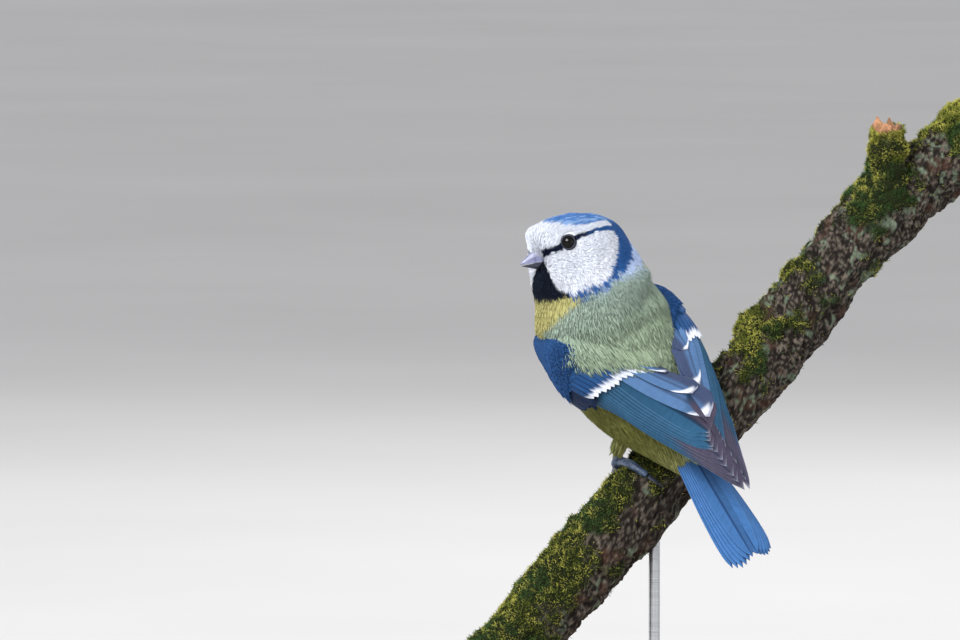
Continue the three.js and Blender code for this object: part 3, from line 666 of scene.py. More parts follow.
def away_from_bill(point):
    """Rough distance from the bill's sides, which are an upright oval round its axis."""
    head = in_head(point)
    oval = np.hypot(head[..., 1] / 2.0, (head[..., 2] + 1.9) / 2.7)
    return (oval - 1) * 2.2 + 3 * (head[..., 0] < 5)


def coat_density(along, angle):
    """Feathers stand closer on the head than on the trunk, and closer where they spread over the wings."""
    density = np.interp(along, [0, 0.5, 0.62, 0.72, 1], [1, 1.1, 1.8, 3.8, 4.0])
    return density * (1 + 0.4 * mantle_lift(along, angle))


COAT_COUNT, LEAVES_A_PIECE = 73000, 12000
coat_draw = np.random.default_rng(7)
coat_along, coat_angle = scattered(coat_density, COAT_COUNT, 5)
coat_normal = coat_normal_at(coat_along, coat_angle)
coat_root = coat_base(coat_along, coat_angle, coat_depth(coat_along) + 0.15)
clear = np.minimum(away_from_eyes(coat_root) - EYE_RADIUS, away_from_bill(coat_root))
keep = (clear > 0.25) & (coat_along > 0.01) & (coat_along < 0.995)
coat_along, coat_angle, coat_normal, coat_root, clear = (
    values[keep] for values in (coat_along, coat_angle, coat_normal, coat_root, clear))
coat_size = len(coat_root)
sway = np.interp(coat_along, [0.5, 0.7], [0.07, 0.12])
lie = swayed(coat_lie(coat_root, coat_normal, coat_along), coat_normal, sway, coat_draw)
coat_length = np.interp(coat_along, [0, 0.1, 0.4, 0.58, 0.68, 0.8, 1], [4.5, 6.5, 6.5, 6, 3.4, 2.5, 2.3])
coat_length = coat_length * coat_draw.uniform(0.75, 1.2, coat_size)
coat_length = np.minimum(coat_length, 0.55 + 0.9 * clear)
coat_width = np.interp(coat_along, [0, 0.5, 0.7, 1], [0.48, 0.36, 0.26, 0.22])
coat_width = coat_width * coat_draw.uniform(0.7, 1.3, coat_size)
coat_rise = coat_depth(coat_along) / np.maximum(coat_length, 0.5) * coat_draw.uniform(0.7, 1.0, coat_size)

# A leaf takes the colour of the place it covers, which is this share of its length on from its root, and
# one in fourteen on the trunk is darkened and half as wide, as painted shade: dark streaks for the gaps
# between feathers.
SHOWN, SPINE_LENGTH, SHADE_STREAK_SHARE = 0.62, 82, 0.07
shown = skin_point(coat_along, coat_angle) + lie * (SHOWN * coat_length)[:, None]
on_trunk = np.interp(coat_along, [0.62, 0.74], [1, 0])
shown_along = np.clip(coat_along - on_trunk * SHOWN * coat_length / SPINE_LENGTH, 0, 1)
coat_tint = coat_colour(shown, shown_along, coat_angle)
vary = np.interp(coat_along, [0.6, 0.75], [0.11, 0.025])[:, None]
coat_tint = coat_tint * (1 + vary * coat_draw.standard_normal((coat_size, 1))).clip(0.75, 1.3)
# Painted shade: these darkened, narrowed leaves draw the shadowed gaps between the feathers as streaks.
shade_streak = (coat_draw.random(coat_size) < SHADE_STREAK_SHARE) & (coat_along < 0.66)
coat_tint = np.where(shade_streak[:, None], coat_tint * 0.45, coat_tint)
coat_width = np.where(shade_streak, coat_width * 0.5, coat_width)
coat_shape = leaves(coat_root, lie, coat_normal, coat_length, coat_width, coat_rise, 0.18)
coat_map = leaf_map(np.stack([coat_angle / (2 * np.pi), coat_along], axis=-1))
# Painted shade and light along each leaf of the coat, the lesser coverts and the leg feathers: darker at the
# root, where the feathers over it shade it, and lighter at the tip.
leaf_painted_shading = np.concatenate([np.repeat(LEAF_STEPS, 3) * 0.2 + 0.88, [1.06]])[None, :, None]
order = np.argsort(coat_along)
for number, part in enumerate(np.array_split(order, math.ceil(len(order) / LEAVES_A_PIECE))):
    make_piece(f"body_coat_{number + 1}", in_room(coat_shape[part]), leaf_faces(len(part)), plumage,
               (), coat_tint[part][:, None] * leaf_painted_shading, {"OFBake": coat_map[part]})

# Wings
# Flight feathers and their coverts, folded over one another in tiers, with the innermost on top.
# Each is a thin closed vane bent to the wing's face, with a shaft, pale edges and its own markings.
VANE_ROWS = np.sin(np.linspace(0, np.pi / 2, 26))
VANE_COLUMNS = np.array([-1, -0.94, -0.75, -0.45, -0.16, -0.04, 0.04, 0.16, 0.45, 0.75, 0.9, 0.96, 1])
MAP_CELLS = 10


def wing_width(along):
    """How wide the wing is in millimetres, from its guide along the back to its lower edge."""
    return np.linalg.norm(curve(WING_GUIDES[0], along) - curve(WING_GUIDES[2], along), axis=-1)


def plate_faces(rows, columns):
    """Quads of a closed plate: upper and under face split alike, walled round the edge."""
    index = np.arange(rows * columns).reshape(rows, columns)
    top = np.stack([index[:-1, :-1], index[:-1, 1:], index[1:, 1:], index[1:, :-1]], axis=-1).reshape(-1, 4)
    edge = np.concatenate([index[0, ::-1], index[1:, 0], index[-1, 1:], index[-2:0:-1, -1]])
    following = np.roll(edge, -1)
    wall = np.stack([edge, following, following + index.size, edge + index.size], axis=1)
    return np.concatenate([top, top[:, ::-1] + index.size, wall])


def vane_faces(count):
    """Quads of count vanes, each a closed plate."""
    points = 2 * VANE_ROWS.size * VANE_COLUMNS.size
    plate = plate_faces(VANE_ROWS.size, VANE_COLUMNS.size)
    return (np.arange(count)[:, None, None] * points + plate).reshape(-1, 4)


def vane_map(count):
    """Each vane has a cell of its own on the map, its upper face in one half and its under face in the
    other."""
    cell = np.arange(count)
    corner = np.stack([cell % MAP_CELLS, cell // MAP_CELLS], axis=-1) / MAP_CELLS
    v, u = spread(VANE_ROWS * 0.92 + 0.04, (VANE_COLUMNS + 1) / 2 * 0.42 + 0.04)
    upper = np.stack([u, v], axis=-1).reshape(-1, 2)
    both = np.concatenate([upper, upper + [0.5, 0]])
    return corner[:, None] + both[None] / MAP_CELLS


def feather_paint(name, gloss):
    """A close vane: its own tint, with barbs slanting from the shaft as fine lines, in colour and relief."""
    paint = Paint(name, Roughness=gloss, Specular_IOR_Level=0.08)
    along = paint.node("ShaderNodeUVMap", {"uv_map": "barbs"})
    parts = paint.node("ShaderNodeSeparateXYZ", {}, {0: along})
    across = Wire(paint, parts.socket.node.outputs[0])
    length = Wire(paint, parts.socket.node.outputs[1])
    slant = (length - abs(across) * 0.9) * 300
    lines = paint.node("ShaderNodeMath", {"operation": "SINE"}, {0: slant})
    place = paint.object_place()
    blotch = paint.noise(place, 500)
    strand = paint.noise(paint.node("ShaderNodeCombineXYZ", {}, {0: slant * 0.12, 1: across * 2.0}), 1.6)
    amount = paint.range(blotch, 0.3, 0.7, 0.93, 1.07) * paint.range(strand, 0.3, 0.7, 0.86, 1.14)
    colour = paint.shade(paint.attribute("tint"), amount + lines * 0.03)
    return paint.finish(colour, bump=lines * 0.3 + strand, strength=0.2, distance=0.00005)


wing_vane = feather_paint("wing_vane", 0.5)


def vanes(upper, normal, thick=0.22):
    """Closed vanes from upper faces (count, rows, columns, 3) and their normals: the under face lies the
    thickness below, thinner at the edge, and the shaft stands out a little."""
    edge = 0.35 + 0.65 * (1 - VANE_COLUMNS**2)
    shaft = np.exp(-(VANE_COLUMNS / 0.06) ** 2) * 0.09
    upper = upper + normal * shaft[None, None, :, None]
    under = upper - normal * (thick * edge)[None, None, :, None]
    count = len(upper)
    return np.concatenate([upper.reshape(count, -1, 3), under.reshape(count, -1, 3)], axis=1)


def barb_map(length, half):
    """Across and along each vane in centimetres, for its upper and its under face."""
    across = VANE_COLUMNS[None, None, :] * half[:, None, None] / 10
    along = VANE_ROWS[None, :, None] * length[:, None, None] / 10
    one = np.stack(np.broadcast_arrays(across, along), axis=-1).reshape(len(length), -1, 2)
    return np.concatenate([one, one], axis=1)


def wing_feathers(table, drop):
    """Vanes on the wing's face. Each row of the table holds root along and across, tip along and across,
    half widths at root and tip in millimetres, lift, how blunt the tip is, its slant, and the kind."""
    root_u, root_v, tip_u, tip_v, half_root, half_tip, lift, blunt, slant = (
        table[:, k, None, None] for k in range(9))
    t, side = VANE_ROWS[None, :, None], VANE_COLUMNS[None, None, :]
    taper = np.sqrt(np.maximum(0.003, 1 - t**blunt)) * np.minimum(1, 0.55 + 2 * t)
    along = root_u + (tip_u - root_u) * t - 0.006 * half_tip * side**2 * t
    half = half_root + (half_tip - half_root) * t
    sunk = 0.8 * (1 - t) ** 2
    inner = 1 + 0.45 * (side < 0)
    off = side * inner * half * taper / wing_width(along)
    across = root_v + (tip_v - root_v) * t + off
    along = along + slant * off * t
    height = lift - sunk + 0.1 * side + 0.1 * (1 - side**2)
    return wing_lifted(along, across, drop, height)


BAR_ACROSS = [0.05, 0.16, 0.28, 0.43, 0.55, 0.71, 0.84]
BAR_ALONG = [0.45, 0.452, 0.455, 0.463, 0.445, 0.405, 0.36]
TERTIAL, SECONDARY, PRIMARY, GREAT, MEDIAN, THUMB = range(6)


def wing_tiers(outer_root, outer_tip, outer_half, stack, tuck):
    """The wing's feathers tier by tier, as rows for wing_feathers, with the kind as the last number. Tips of
    the great coverts lie on the white bar, and each feather ends a little off its place in the row."""

    def tier(kind, count, blunt, *ends):
        share = np.linspace(0, 1, count)
        columns = [low + (high - low) * share for low, high in ends]
        return np.stack([*columns, 0 * share + blunt, 0 * share, 0 * share + kind], axis=-1)

    tertials = np.array([
        [0.28, 0.05, 0.47, -0.03 + tuck, 1.6, 1.3, 1.7 * stack, 5, 0, TERTIAL],
        [0.3, 0.12, 0.625, -0.01 + tuck, 2.4, 1.5, 1.4 * stack, 5, 0, TERTIAL],
        [0.32, 0.22, 0.775, 0.0 + tuck, 3.4, 1.5, 1.1 * stack, 5, 0, TERTIAL],
    ])
    great = tier(GREAT, 12, 9, (0.2, 0.2), (0.14, 0.78), (0, 0), (0.08, 0.74), (0.9, 0.9), (0.95, 0.85),
                 (0.2 + stack, 0.1 + 0.9 * stack))
    bar = np.interp(great[:, 3], BAR_ACROSS, BAR_ALONG)
    great[:, 2], great[:, 8] = bar, np.gradient(bar, great[:, 3])
    rows = np.concatenate([
        tertials,
        tier(SECONDARY, 5, 7, (0.34, 0.34), (0.34, 0.56), (0.81, 0.86), (0.08, 0.16), (2.2, 2.2),
             (2.5, 2.2), (0.85 * stack, 0.45 * stack)),
        tier(PRIMARY, 6, 6, (0.36, 0.36), (0.57, outer_root), (0.87, 1), (0.13, outer_tip), (2.0, 1.7),
             (2.2, outer_half), (0.4 * stack, -0.12)),
        great,
        tier(MEDIAN, 10, 5, (0.16, 0.16), (0.3, 0.86), (0.35, 0.28), (0.3, 0.82), (1.2, 1.1),
             (1.3, 1.2), (1.0, 0.9)),
        tier(THUMB, 7, 6, (0.16, 0.14), (0.78, 0.96), (0.41, 0.33), (0.77, 0.94), (0.8, 0.8),
             (0.9, 0.8), (0.8, 0.65)),
    ])
    rows[:, 2] += 0.004 * np.sin(2.4 * np.arange(len(rows)))
    return rows


TEAL, TEAL_DEEP, TEAL_EDGE = srgb(46, 82, 110), srgb(28, 54, 76), srgb(76, 110, 140)
WING_BROWN, FRINGE = srgb(74, 68, 84), srgb(150, 152, 168)
TERTIAL_BLUE, TERTIAL_DARK = srgb(82, 112, 152), srgb(62, 72, 98)
COVERT_BLUE, COVERT_DEEP, THUMB_DARK = srgb(38, 72, 116), srgb(18, 42, 76), srgb(20, 30, 50)


def wing_tint(kind, shade):
    """Colours over each vane: the outer half brighter, pale edge, dark inner half, and tips by kind."""
    t, side = VANE_ROWS[None, :, None], VANE_COLUMNS[None, None, :]
    outer, edge = soft(side - 0.02, 0.2), soft(side - 0.93, 0.06)
    rim = t + 0.04 * side**2
    tip = soft(t + 0.01 * side**2 - 0.985, 0.02)
    late = soft(t - 0.74, 0.2)
    shaft = soft(0.07 - np.abs(side), 0.05)
    one = np.ones((1, VANE_ROWS.size, VANE_COLUMNS.size, 1))
    tertial = lay(TERTIAL_DARK, (TERTIAL_BLUE, soft(side + 0.22, 0.3)), (TEAL_EDGE, edge * 0.5),
                  (TERTIAL_DARK * 0.7, shaft * 0.6), (WHITE, soft(rim - 0.9, 0.05) * soft(side + 0.5, 0.5)),
                  (FRINGE, soft(rim - 0.96, 0.03)))
    secondary = lay(TEAL_DEEP, (TEAL * (0.65 + 0.55 * t[..., None]), outer), (TEAL_EDGE, edge * 0.8),
                    (WING_BROWN, late * (1 - outer)), (TEAL_DEEP * 0.7, shaft * 0.7), (FRINGE, tip * 0.5))
    primary = lay(TEAL_DEEP * 0.8, (TEAL * 0.85, outer * (1 - 0.6 * late)), (WING_BROWN, late * 0.9),
                  (TEAL_EDGE, edge * (1 - late) * 0.8), (FRINGE, edge * late * 0.25),
                  (TEAL_DEEP * 0.6, shaft * 0.6), (FRINGE, tip * 0.6))
    great = lay(COVERT_DEEP, (COVERT_BLUE, outer), (TEAL_EDGE * 0.7, edge * 0.4),
                (WHITE, soft(rim - 0.88, 0.1) * 0.75))
    median = lay(COVERT_BLUE, (COVERT_DEEP, soft(0.4 - t, 0.4)), (CAP_BLUE * 0.6, edge * 0.3))
    thumb = lay(THUMB_DARK, (COVERT_DEEP, outer * 0.5), (FRINGE * 0.7, edge * soft(t - 0.5, 0.3) * 0.4))
    kinds = np.concatenate([one * tint for tint in (tertial, secondary, primary, great, median, thumb)])
    flat = (kinds[kind] * shade[:, None, None, None]).reshape(len(kind), -1, 3)
    return np.concatenate([flat, flat * 0.7 + WING_BROWN * 0.25], axis=1)


def wing_scatter(count, wing, seed):
    """Random places on the wing's face where lesser coverts grow: between the edge of the back's plumage and
    the wing's own lower edge, from its start down to the median coverts."""
    draw = np.random.default_rng(seed)
    along, across = draw.uniform(-0.02, 0.5, 4 * count), draw.uniform(-0.15, 1.04, 4 * count)
    grows = (across > np.interp(along, *wing["mantle"]) - 0.2) & (across > -0.02) & (across < 0.96)
    grows = grows & (along > wing["starts"]) & (along < 0.3 - 0.08 * across)
    kept = draw.random(4 * count) < grows
    return along[kept][:count], across[kept][:count], draw


def wing_leaves(along, across, drop, lift, length, width, draw):
    """Leaves on the wing's face that lie towards its tip."""
    place, normal = wing_lifted(along, across, drop, lift)
    ahead, _ = wing_lifted(along + 0.02, across, drop, lift)
    lie = along_face(swayed(unit(ahead - place), normal, 0.12, draw), normal)
    rise = 0.11 * draw.uniform(0.4, 1.2, len(place))
    return leaves(place, lie, normal, length, width, rise)


LESSER_COUNT, LESSER_SEED = 5200, 31
for name, wing in WINGS.items():
    side, drop = wing["side"], wing["drop"]
    flip = np.array([1, side, 1])
    # Painted light: the wing's vanes, front half and lesser coverts are lightened by these, more on the
    # right wing than on the left.
    vane_painted_light, arm_painted_light, lesser_tone_and_painted_light = wing["light"]
    table = wing_tiers(*wing["tiers"])
    upper, normal = wing_feathers(table, drop)
    shape = vanes(upper, normal) * flip
    count = len(table)
    length = np.linalg.norm(upper[:, -1, 6] - upper[:, 0, 6], axis=-1)
    shade = rng.normal(1, 0.06, count).clip(0.85, 1.15) * vane_painted_light
    make_piece(f"wing_{name}_vanes", in_room(shape), vane_faces(count)[:, ::side], wing_vane,
               (f"wing_{name}",), wing_tint(table[:, 9].astype(int), shade),
               {"OFBake": vane_map(count), "barbs": barb_map(length, table[:, 5])})

    # The wing's fleshy front half, closed under the coverts.
    u, v = spread(np.linspace(0.04 + wing["starts"], 0.36, 60), np.linspace(0.02, 0.94, 50))
    rounded = 1 - 0.9 * np.maximum(np.abs(2 * v - 1.0), np.abs(u / 0.16 - 1.25)) ** 6
    top, normal = wing_lifted(u, v, drop, 0.1 * rounded - 0.9)
    bottom = top - normal * (0.15 + 1.6 * rounded[..., None])
    place = np.stack([v, u], axis=-1).reshape(-1, 2) * 0.45
    make_piece(f"wing_{name}_arm", in_room(np.stack([top, bottom]) * flip), plate_faces(*u.shape)[:, ::side],
               plumage, (), np.tile(COVERT_DEEP * arm_painted_light, (2 * u.size, 1)),
               {"OFBake": np.concatenate([place + 0.02, place + 0.52])})

    # Lesser coverts: small blue feathers from the shoulder down to the median coverts.
    along, across, draw = wing_scatter(LESSER_COUNT, wing, LESSER_SEED)
    size = len(along)
    lift = 0.9 * soft(along - 0.12, 0.2)[:, 0] - 0.25
    length, width = draw.uniform(2.4, 3.8, size), draw.uniform(0.4, 0.7, size)
    shape = wing_leaves(along, across, drop, lift, length, width, draw)
    bluer = draw.uniform(0, 1, (size, 1)) * soft(0.22 - along, 0.2)
    tint = lay(COVERT_DEEP, (COVERT_BLUE, 0.5 + 0.5 * bluer)) * draw.normal(1, 0.1, (size, 1)) * lesser_tone_and_painted_light
    patch = leaf_map(np.stack([np.clip(across, 0, 1), np.clip(along, 0, 1) * 2], axis=-1) * 0.9)
    make_piece(f"wing_{name}_lesser", in_room(shape * flip), leaf_faces(size)[:, ::side], plumage,
               (), tint[:, None] * leaf_painted_shading, {"OFBake": patch})

# Tail
# Twelve stiff blue feathers in a narrow fan, the middle pair uppermost, each with a dark shaft.
# They are closed vanes along straight shafts, stepped down from the middle pair outwards.
TAIL_ROOT, TAIL_TIP, TAIL_PAIRS = np.array([-12.2, 1, -10.9]), np.array([-35.2, 1, -54]), 6
# For each pair from the middle outwards, how much shorter it is and its half width.
TAIL_SHORT, TAIL_HALF = np.array([1.5, 0.9, 0.3, 0, 0.4, 1.0]), np.array([4.2, 3.9, 3.5, 3.1, 2.8, 2.6])
TAIL_BLUE, TAIL_EDGE = srgb(72, 116, 172), srgb(92, 134, 190)
TAIL_DARK, TAIL_UNDER = srgb(44, 70, 112), srgb(112, 124, 150)
ROOT_HALF, BARB_HALF = 1.6, 3.1
tail_vane = feather_paint("tail_vane", 0.45)
pair = np.repeat(np.arange(TAIL_PAIRS), 2)
hand = np.tile([1.0, -1.0], TAIL_PAIRS)
tail_length = np.linalg.norm(TAIL_TIP - TAIL_ROOT) - TAIL_SHORT[pair]
fan = (hand * np.radians(0.7 + 1.3 * pair))[:, None, None]
t, edge = VANE_ROWS[None, :, None], VANE_COLUMNS[None, None, :]
taper = np.sqrt(np.maximum(0.003, 1 - t**7))
reach = tail_length[:, None, None] * t - 0.8 * edge**2 * t
half = (ROOT_HALF + (TAIL_HALF[pair][:, None, None] - ROOT_HALF) * np.minimum(1, 1.6 * t)) * taper
out = hand[:, None, None]
sideways = out * (0.5 + 0.25 * pair[:, None, None]) + reach * np.sin(fan) + edge * half
height = (-0.36 * pair - np.where(hand > 0, 0, 0.18))[:, None, None] + 0.12 * edge * out - 0.15 * edge**2
along_tail, left = unit(TAIL_TIP - TAIL_ROOT), np.array([0, 1.0, 0])
tail_frame = np.stack([along_tail, left, np.cross(left, along_tail)])
in_tail = np.stack(np.broadcast_arrays(reach * np.cos(fan), sideways, height), axis=-1)
upper = in_tail @ tail_frame + TAIL_ROOT
shape = vanes(upper, np.broadcast_to(tail_frame[2], upper.shape), 0.24)
count = len(pair)
rim = np.maximum(soft(np.abs(edge) - 0.93, 0.08), soft(t + 0.03 * edge**2 - 0.995, 0.02))
one = np.ones((count, VANE_ROWS.size, VANE_COLUMNS.size, 1))
tint = lay(TAIL_BLUE * 0.82 * one, (TAIL_BLUE, soft(edge * out, 0.3)),
           (TAIL_DARK, soft(0.09 - np.abs(edge), 0.06) * 0.9), (TAIL_EDGE, rim * 0.4))
flat = (tint * rng.normal(1, 0.04, (count, 1, 1, 1))).reshape(count, -1, 3)
tail_tint = np.concatenate([flat, 0.3 * flat + 0.7 * TAIL_UNDER], axis=1)
make_piece("tail_vanes", in_room(shape), vane_faces(count), tail_vane, ("tail",), tail_tint,
           {"OFBake": vane_map(count), "barbs": barb_map(tail_length, np.full(count, BARB_HALF))})

# Eyes and lids
# Each eye is a wet, nearly black ball, held by a thin ring of bare grey skin.
# The solids' balls stay; the lid is a ring with small beads along it, set in the plumage round the ball.


def mottled(name, scale, stops, strength=0.0, **sockets):
    """A material whose colour follows fine noise through the stops, with the noise as its relief."""
    paint = Paint(name, **sockets)
    noise = paint.noise(paint.object_place(), scale)
    bump = noise if strength else None
    return paint.finish(paint.ramp(noise, *stops), bump=bump, strength=strength, distance=0.0001)


def dress(names, material):
    """The material in place of the named solids' own."""
    for name in names:
        nodes[name].data.materials.clear()
        nodes[name].data.materials.append(material)


dress(("eye_left", "eye_right"), mottled(
    "eye", 900, ((0.3, (0.0008, 0.0006, 0.0005)), (0.7, (0.003, 0.002, 0.0016))),
    Roughness=0.04, Specular_IOR_Level=0.2))
lid = mottled("lid", 2500, ((0.3, srgb(20, 24, 36)), (0.75, srgb(58, 66, 84))), 0.4, Roughness=0.5)
LID_RADIUS, LID_OUT, LID_THICK, LID_BEADS, LID_STEPS, LID_SIDES = 1.8, 1.55, 0.17, 24, 72, 10
lid_faces = tube_faces(LID_STEPS + 1, LID_SIDES) % (LID_STEPS * LID_SIDES)
turn, section = circle(LID_STEPS)[:, None], circle(LID_SIDES)[None, :]
bead = LID_THICK + 0.015 * np.sin(LID_BEADS * turn)
radius, stands_out = LID_RADIUS + bead * np.cos(section), LID_OUT + bead * np.sin(section)
for name, side in (("left", 1), ("right", -1)):
    flip = np.array([1, side, 1])
    looks = unit(EYE_LOOKS * flip)
    first = unit(np.cross(looks, [0, 0, 1.0]))
    second = np.cross(looks, first)
    spoke = first * np.cos(turn)[..., None] + second * np.sin(turn)[..., None]
    ring = EYE_PLACE * flip + spoke * radius[..., None] + looks * stands_out[..., None]
    make_piece(f"lid_{name}", in_room(from_head(ring)), lid_faces[:, ::-1], lid)

# Bill
# A short stout horn bill, grey lilac above and darker below.
# The solids' two halves stay, each in a horn of its own colour.
dress(("bill_upper",), mottled(
    "bill", 700, ((0.3, srgb(98, 102, 132)), (0.75, srgb(152, 154, 184))), 0.15,
    Roughness=0.32, Coat_Weight=0.25, Coat_Roughness=0.3))
dress(("bill_lower",), mottled(
    "bill_low", 700, ((0.3, srgb(26, 28, 38)), (0.75, srgb(62, 66, 84))), 0.15,
    Roughness=0.35, Coat_Weight=0.2, Coat_Roughness=0.3))

# Perch
# A cut length of old branch, dark rough bark all but hidden by moss and lichen, with a broken side twig.
# The bark is one tube pushed in and out by lumps, cracks and grain, with smooth sawn ends.
PERCH_AXIS = np.array([
    [-44.9, 21.3], [-27.5, 41.9], [-5.8, 66.5], [21.5, 97], [33, 111.9], [49.1, 132.1], [64.3, 147.1],
    [79.1, 158.5], [87.1, 164.3],
])
PERCH_RADIUS, PERCH_SWELL = 9.8, 0.35
# The branch recedes by this share of its way to the right, and has no depth this far left of the middle.
PERCH_RECEDES, PERCH_SHIFT = 0.25, 17
perch_line = np.stack(
    [PERCH_AXIS[:, 0], (PERCH_AXIS[:, 0] + PERCH_SHIFT) * PERCH_RECEDES, PERCH_AXIS[:, 1]], axis=-1)
BARK_DARK, BARK_PALE, BARK_RED = srgb(34, 29, 26), srgb(104, 95, 86), srgb(78, 56, 46)
LICHEN, MOSS_DARK, SAWN, TORN = srgb(104, 116, 98), srgb(30, 36, 14), srgb(168, 132, 94), srgb(190, 138, 104)
MOSS_THICK = 1.3
BARK_RINGS, BARK_AROUND, STUB_RINGS, STUB_AROUND = 360, 160, 130, 110
# Where the rings of a sawn end lie between its middle and the bark, and how light each is.
SAWN_RINGS = np.array([0.05, 0.25, 0.45, 0.65, 0.8, 0.9])[:, None, None]
SAWN_SHADES = np.array([1, 0.86, 1, 0.84, 0.96, 0.7])[:, None, None]


def perch_frame(along):
    """The branch's middle, axis, and the directions to the front and the upper side."""
    axis = direction(perch_line, np.asarray(along, float))
    front = unit(np.array([0, -1.0, 0]) + axis * axis[..., 1:2])
    return curve(perch_line, along), axis, front, np.cross(front, axis)


def perch_point(along, angle, lift=0.0):
    """Middle plus the reach times cos(angle) to the front and sin(angle) upwards, where the reach is the
    radius with slow swells and the lift."""
    along, angle, lift = np.broadcast_arrays(np.asarray(along, float), angle, lift)
    middle, _, front, upper = perch_frame(along)
    swell = PERCH_SWELL * (np.sin(23 * along + 2 * angle) + 0.6 * np.sin(41 * along - 3 * angle))
    reach = (PERCH_RADIUS + swell + lift)[..., None]
    return middle + front * reach * np.cos(angle)[..., None] + upper * reach * np.sin(angle)[..., None]


def bark_relief(point):
    """Height of the bark in millimetres: lumps, less cracks drawn out along the branch, plus grain and
    grit."""
    plates = np.abs(lattice(point * [1, 1.3, 0.6], 2.6, 51) - 0.5) * 2
    cracks = np.exp(-((plates / 0.2) ** 2))
    lumps, grain, grit = lattice(point, 5.5, 52), lattice(point, 1.3, 53), lattice(point, 0.6, 54)
    return 1.6 * (lumps - 0.5) - 0.9 * cracks + 0.8 * (grain - 0.5) + 0.4 * (grit - 0.5)


def moss_cover(point, up):
    """How thick the moss lies, from nought to one: in patches, more on the sides that face up, towards the
    lower end of the branch and round the foot of the twig."""
    patches = 0.62 * lattice(point, 8, 71) + 0.38 * lattice(point, 3, 72)
    lower = np.clip((14 - point[..., 0]) / 40, 0, 1)
    near_stub = np.exp(-(((point - [58, 15, 158]) / 14) ** 2).sum(-1))
    return soft(patches + 0.22 * up + 0.27 * lower + 0.16 * near_stub - 0.63, 0.2)[..., 0]


def moss_height(point, cover):
    """Height of the cushion of moss in millimetres, uneven by about half."""
    return cover * MOSS_THICK * (0.5 + lattice(point, 2.4, 75))


def branch_tint(point, cover):
    """Dark bark with paler worn grains, grey-green lichen in patches, and dark moss where moss lies."""
    grain, fine = lattice(point, 0.8, 81), lattice(point, 0.4, 82)
    spots = lattice(point, 3, 84) + 0.8 * lattice(point, 0.9, 85) - 1.28 + 0.14 * (point[..., 0] > 50)
    shade = (0.6 + 0.8 * fine)[..., None]
    return lay(BARK_DARK, (BARK_PALE, soft(0.5 * (grain + fine) - 0.6, 0.3)),
               (BARK_RED, soft(lattice(point, 4, 83) - 0.72, 0.15) * 0.5),
               (LICHEN * shade, soft(spots, 0.16) * 0.8), (MOSS_DARK * shade, cover[..., None]))


def sawn(ring):
    """Rings across a sawn end, from its middle out to just inside the bark."""
    return ring.mean(0) + (ring - ring.mean(0)) * SAWN_RINGS


bark_paint = Paint("bark", Roughness=0.92, Specular_IOR_Level=0.2)
bark_noise = bark_paint.noise(bark_paint.object_place(), 1100, 5, 0.65)
bark_shade = bark_paint.range(bark_noise, 0.3, 0.7, 0.65, 1.35)
bark = bark_paint.finish(bark_paint.shade(bark_paint.attribute("tint"), bark_shade), bump=bark_noise,
                         strength=0.7, distance=0.0004)
along, angle = np.linspace(0, 1, BARK_RINGS)[:, None], circle(BARK_AROUND)[None, :]
plain = perch_point(along, angle)
cover = moss_cover(plain, np.sin(angle))
relief = bark_relief(plain) + moss_height(plain, cover)
relief = relief * np.clip(np.minimum(along, 1 - along) * 90, 0, 1)
branch = perch_point(along, angle, relief - 0.3)
points, faces = closed_tube(np.concatenate([sawn(branch[0]), branch, sawn(branch[-1])[::-1]]))
year = SAWN * SAWN_SHADES * np.ones((1, BARK_AROUND, 1))
tint = np.concatenate([year, branch_tint(plain, cover), year[::-1]]).reshape(-1, 3)
tint = np.concatenate([tint, [SAWN, SAWN]])
make_piece("perch_bark", points, faces[:, ::-1], bark, ("perch",), tint)

STUB_FROM, STUB_TO = np.array([61, 17, 146.0]), np.array([59.6, 12, 167.0])
STUB_RADIUS, STUB_END = 5.8, 4.8
stub_axis = unit(STUB_TO - STUB_FROM)
stub_side = unit(np.cross(stub_axis, [1, 0, 0]))
stub_other = np.cross(stub_axis, stub_side)


def stub_point(along, angle, lift=0.0):
    """Straight from the branch to the broken end, flared at the foot, with a torn and hollowed end."""
    along, angle = np.broadcast_arrays(along, angle)
    reach = STUB_RADIUS + (STUB_END - STUB_RADIUS) * along + 2.2 * np.exp(-(along / 0.3) ** 2) + lift - 0.9
    spoke = stub_side * np.cos(angle)[..., None] + stub_other * np.sin(angle)[..., None]
    return STUB_FROM + (STUB_TO - STUB_FROM) * along[..., None] + spoke * reach[..., None]


along, angle = np.linspace(0, 1, STUB_RINGS)[:, None], circle(STUB_AROUND)[None, :]
plain = stub_point(along, angle)
stub_up = -np.cos(angle) * 0.5 + 0 * along
stub_cover = moss_cover(plain, stub_up) * (1 - soft(along - 0.93, 0.1)[..., 0])
relief = 0.8 * bark_relief(plain) + stub_cover * MOSS_THICK
torn = (lattice(plain, 2.1, 61) - 0.75) * 8 * soft(along - 0.88, 0.2)[..., 0]
points, faces = closed_tube(stub_point(along, angle, relief) + stub_axis * torn[..., None])
tint = lay(branch_tint(plain, stub_cover), (TORN, soft(along - 0.95, 0.06))).reshape(-1, 3)
make_piece("perch_twig_stub", points, faces, bark, (), np.concatenate([tint, [SAWN, SAWN * 0.7]]))

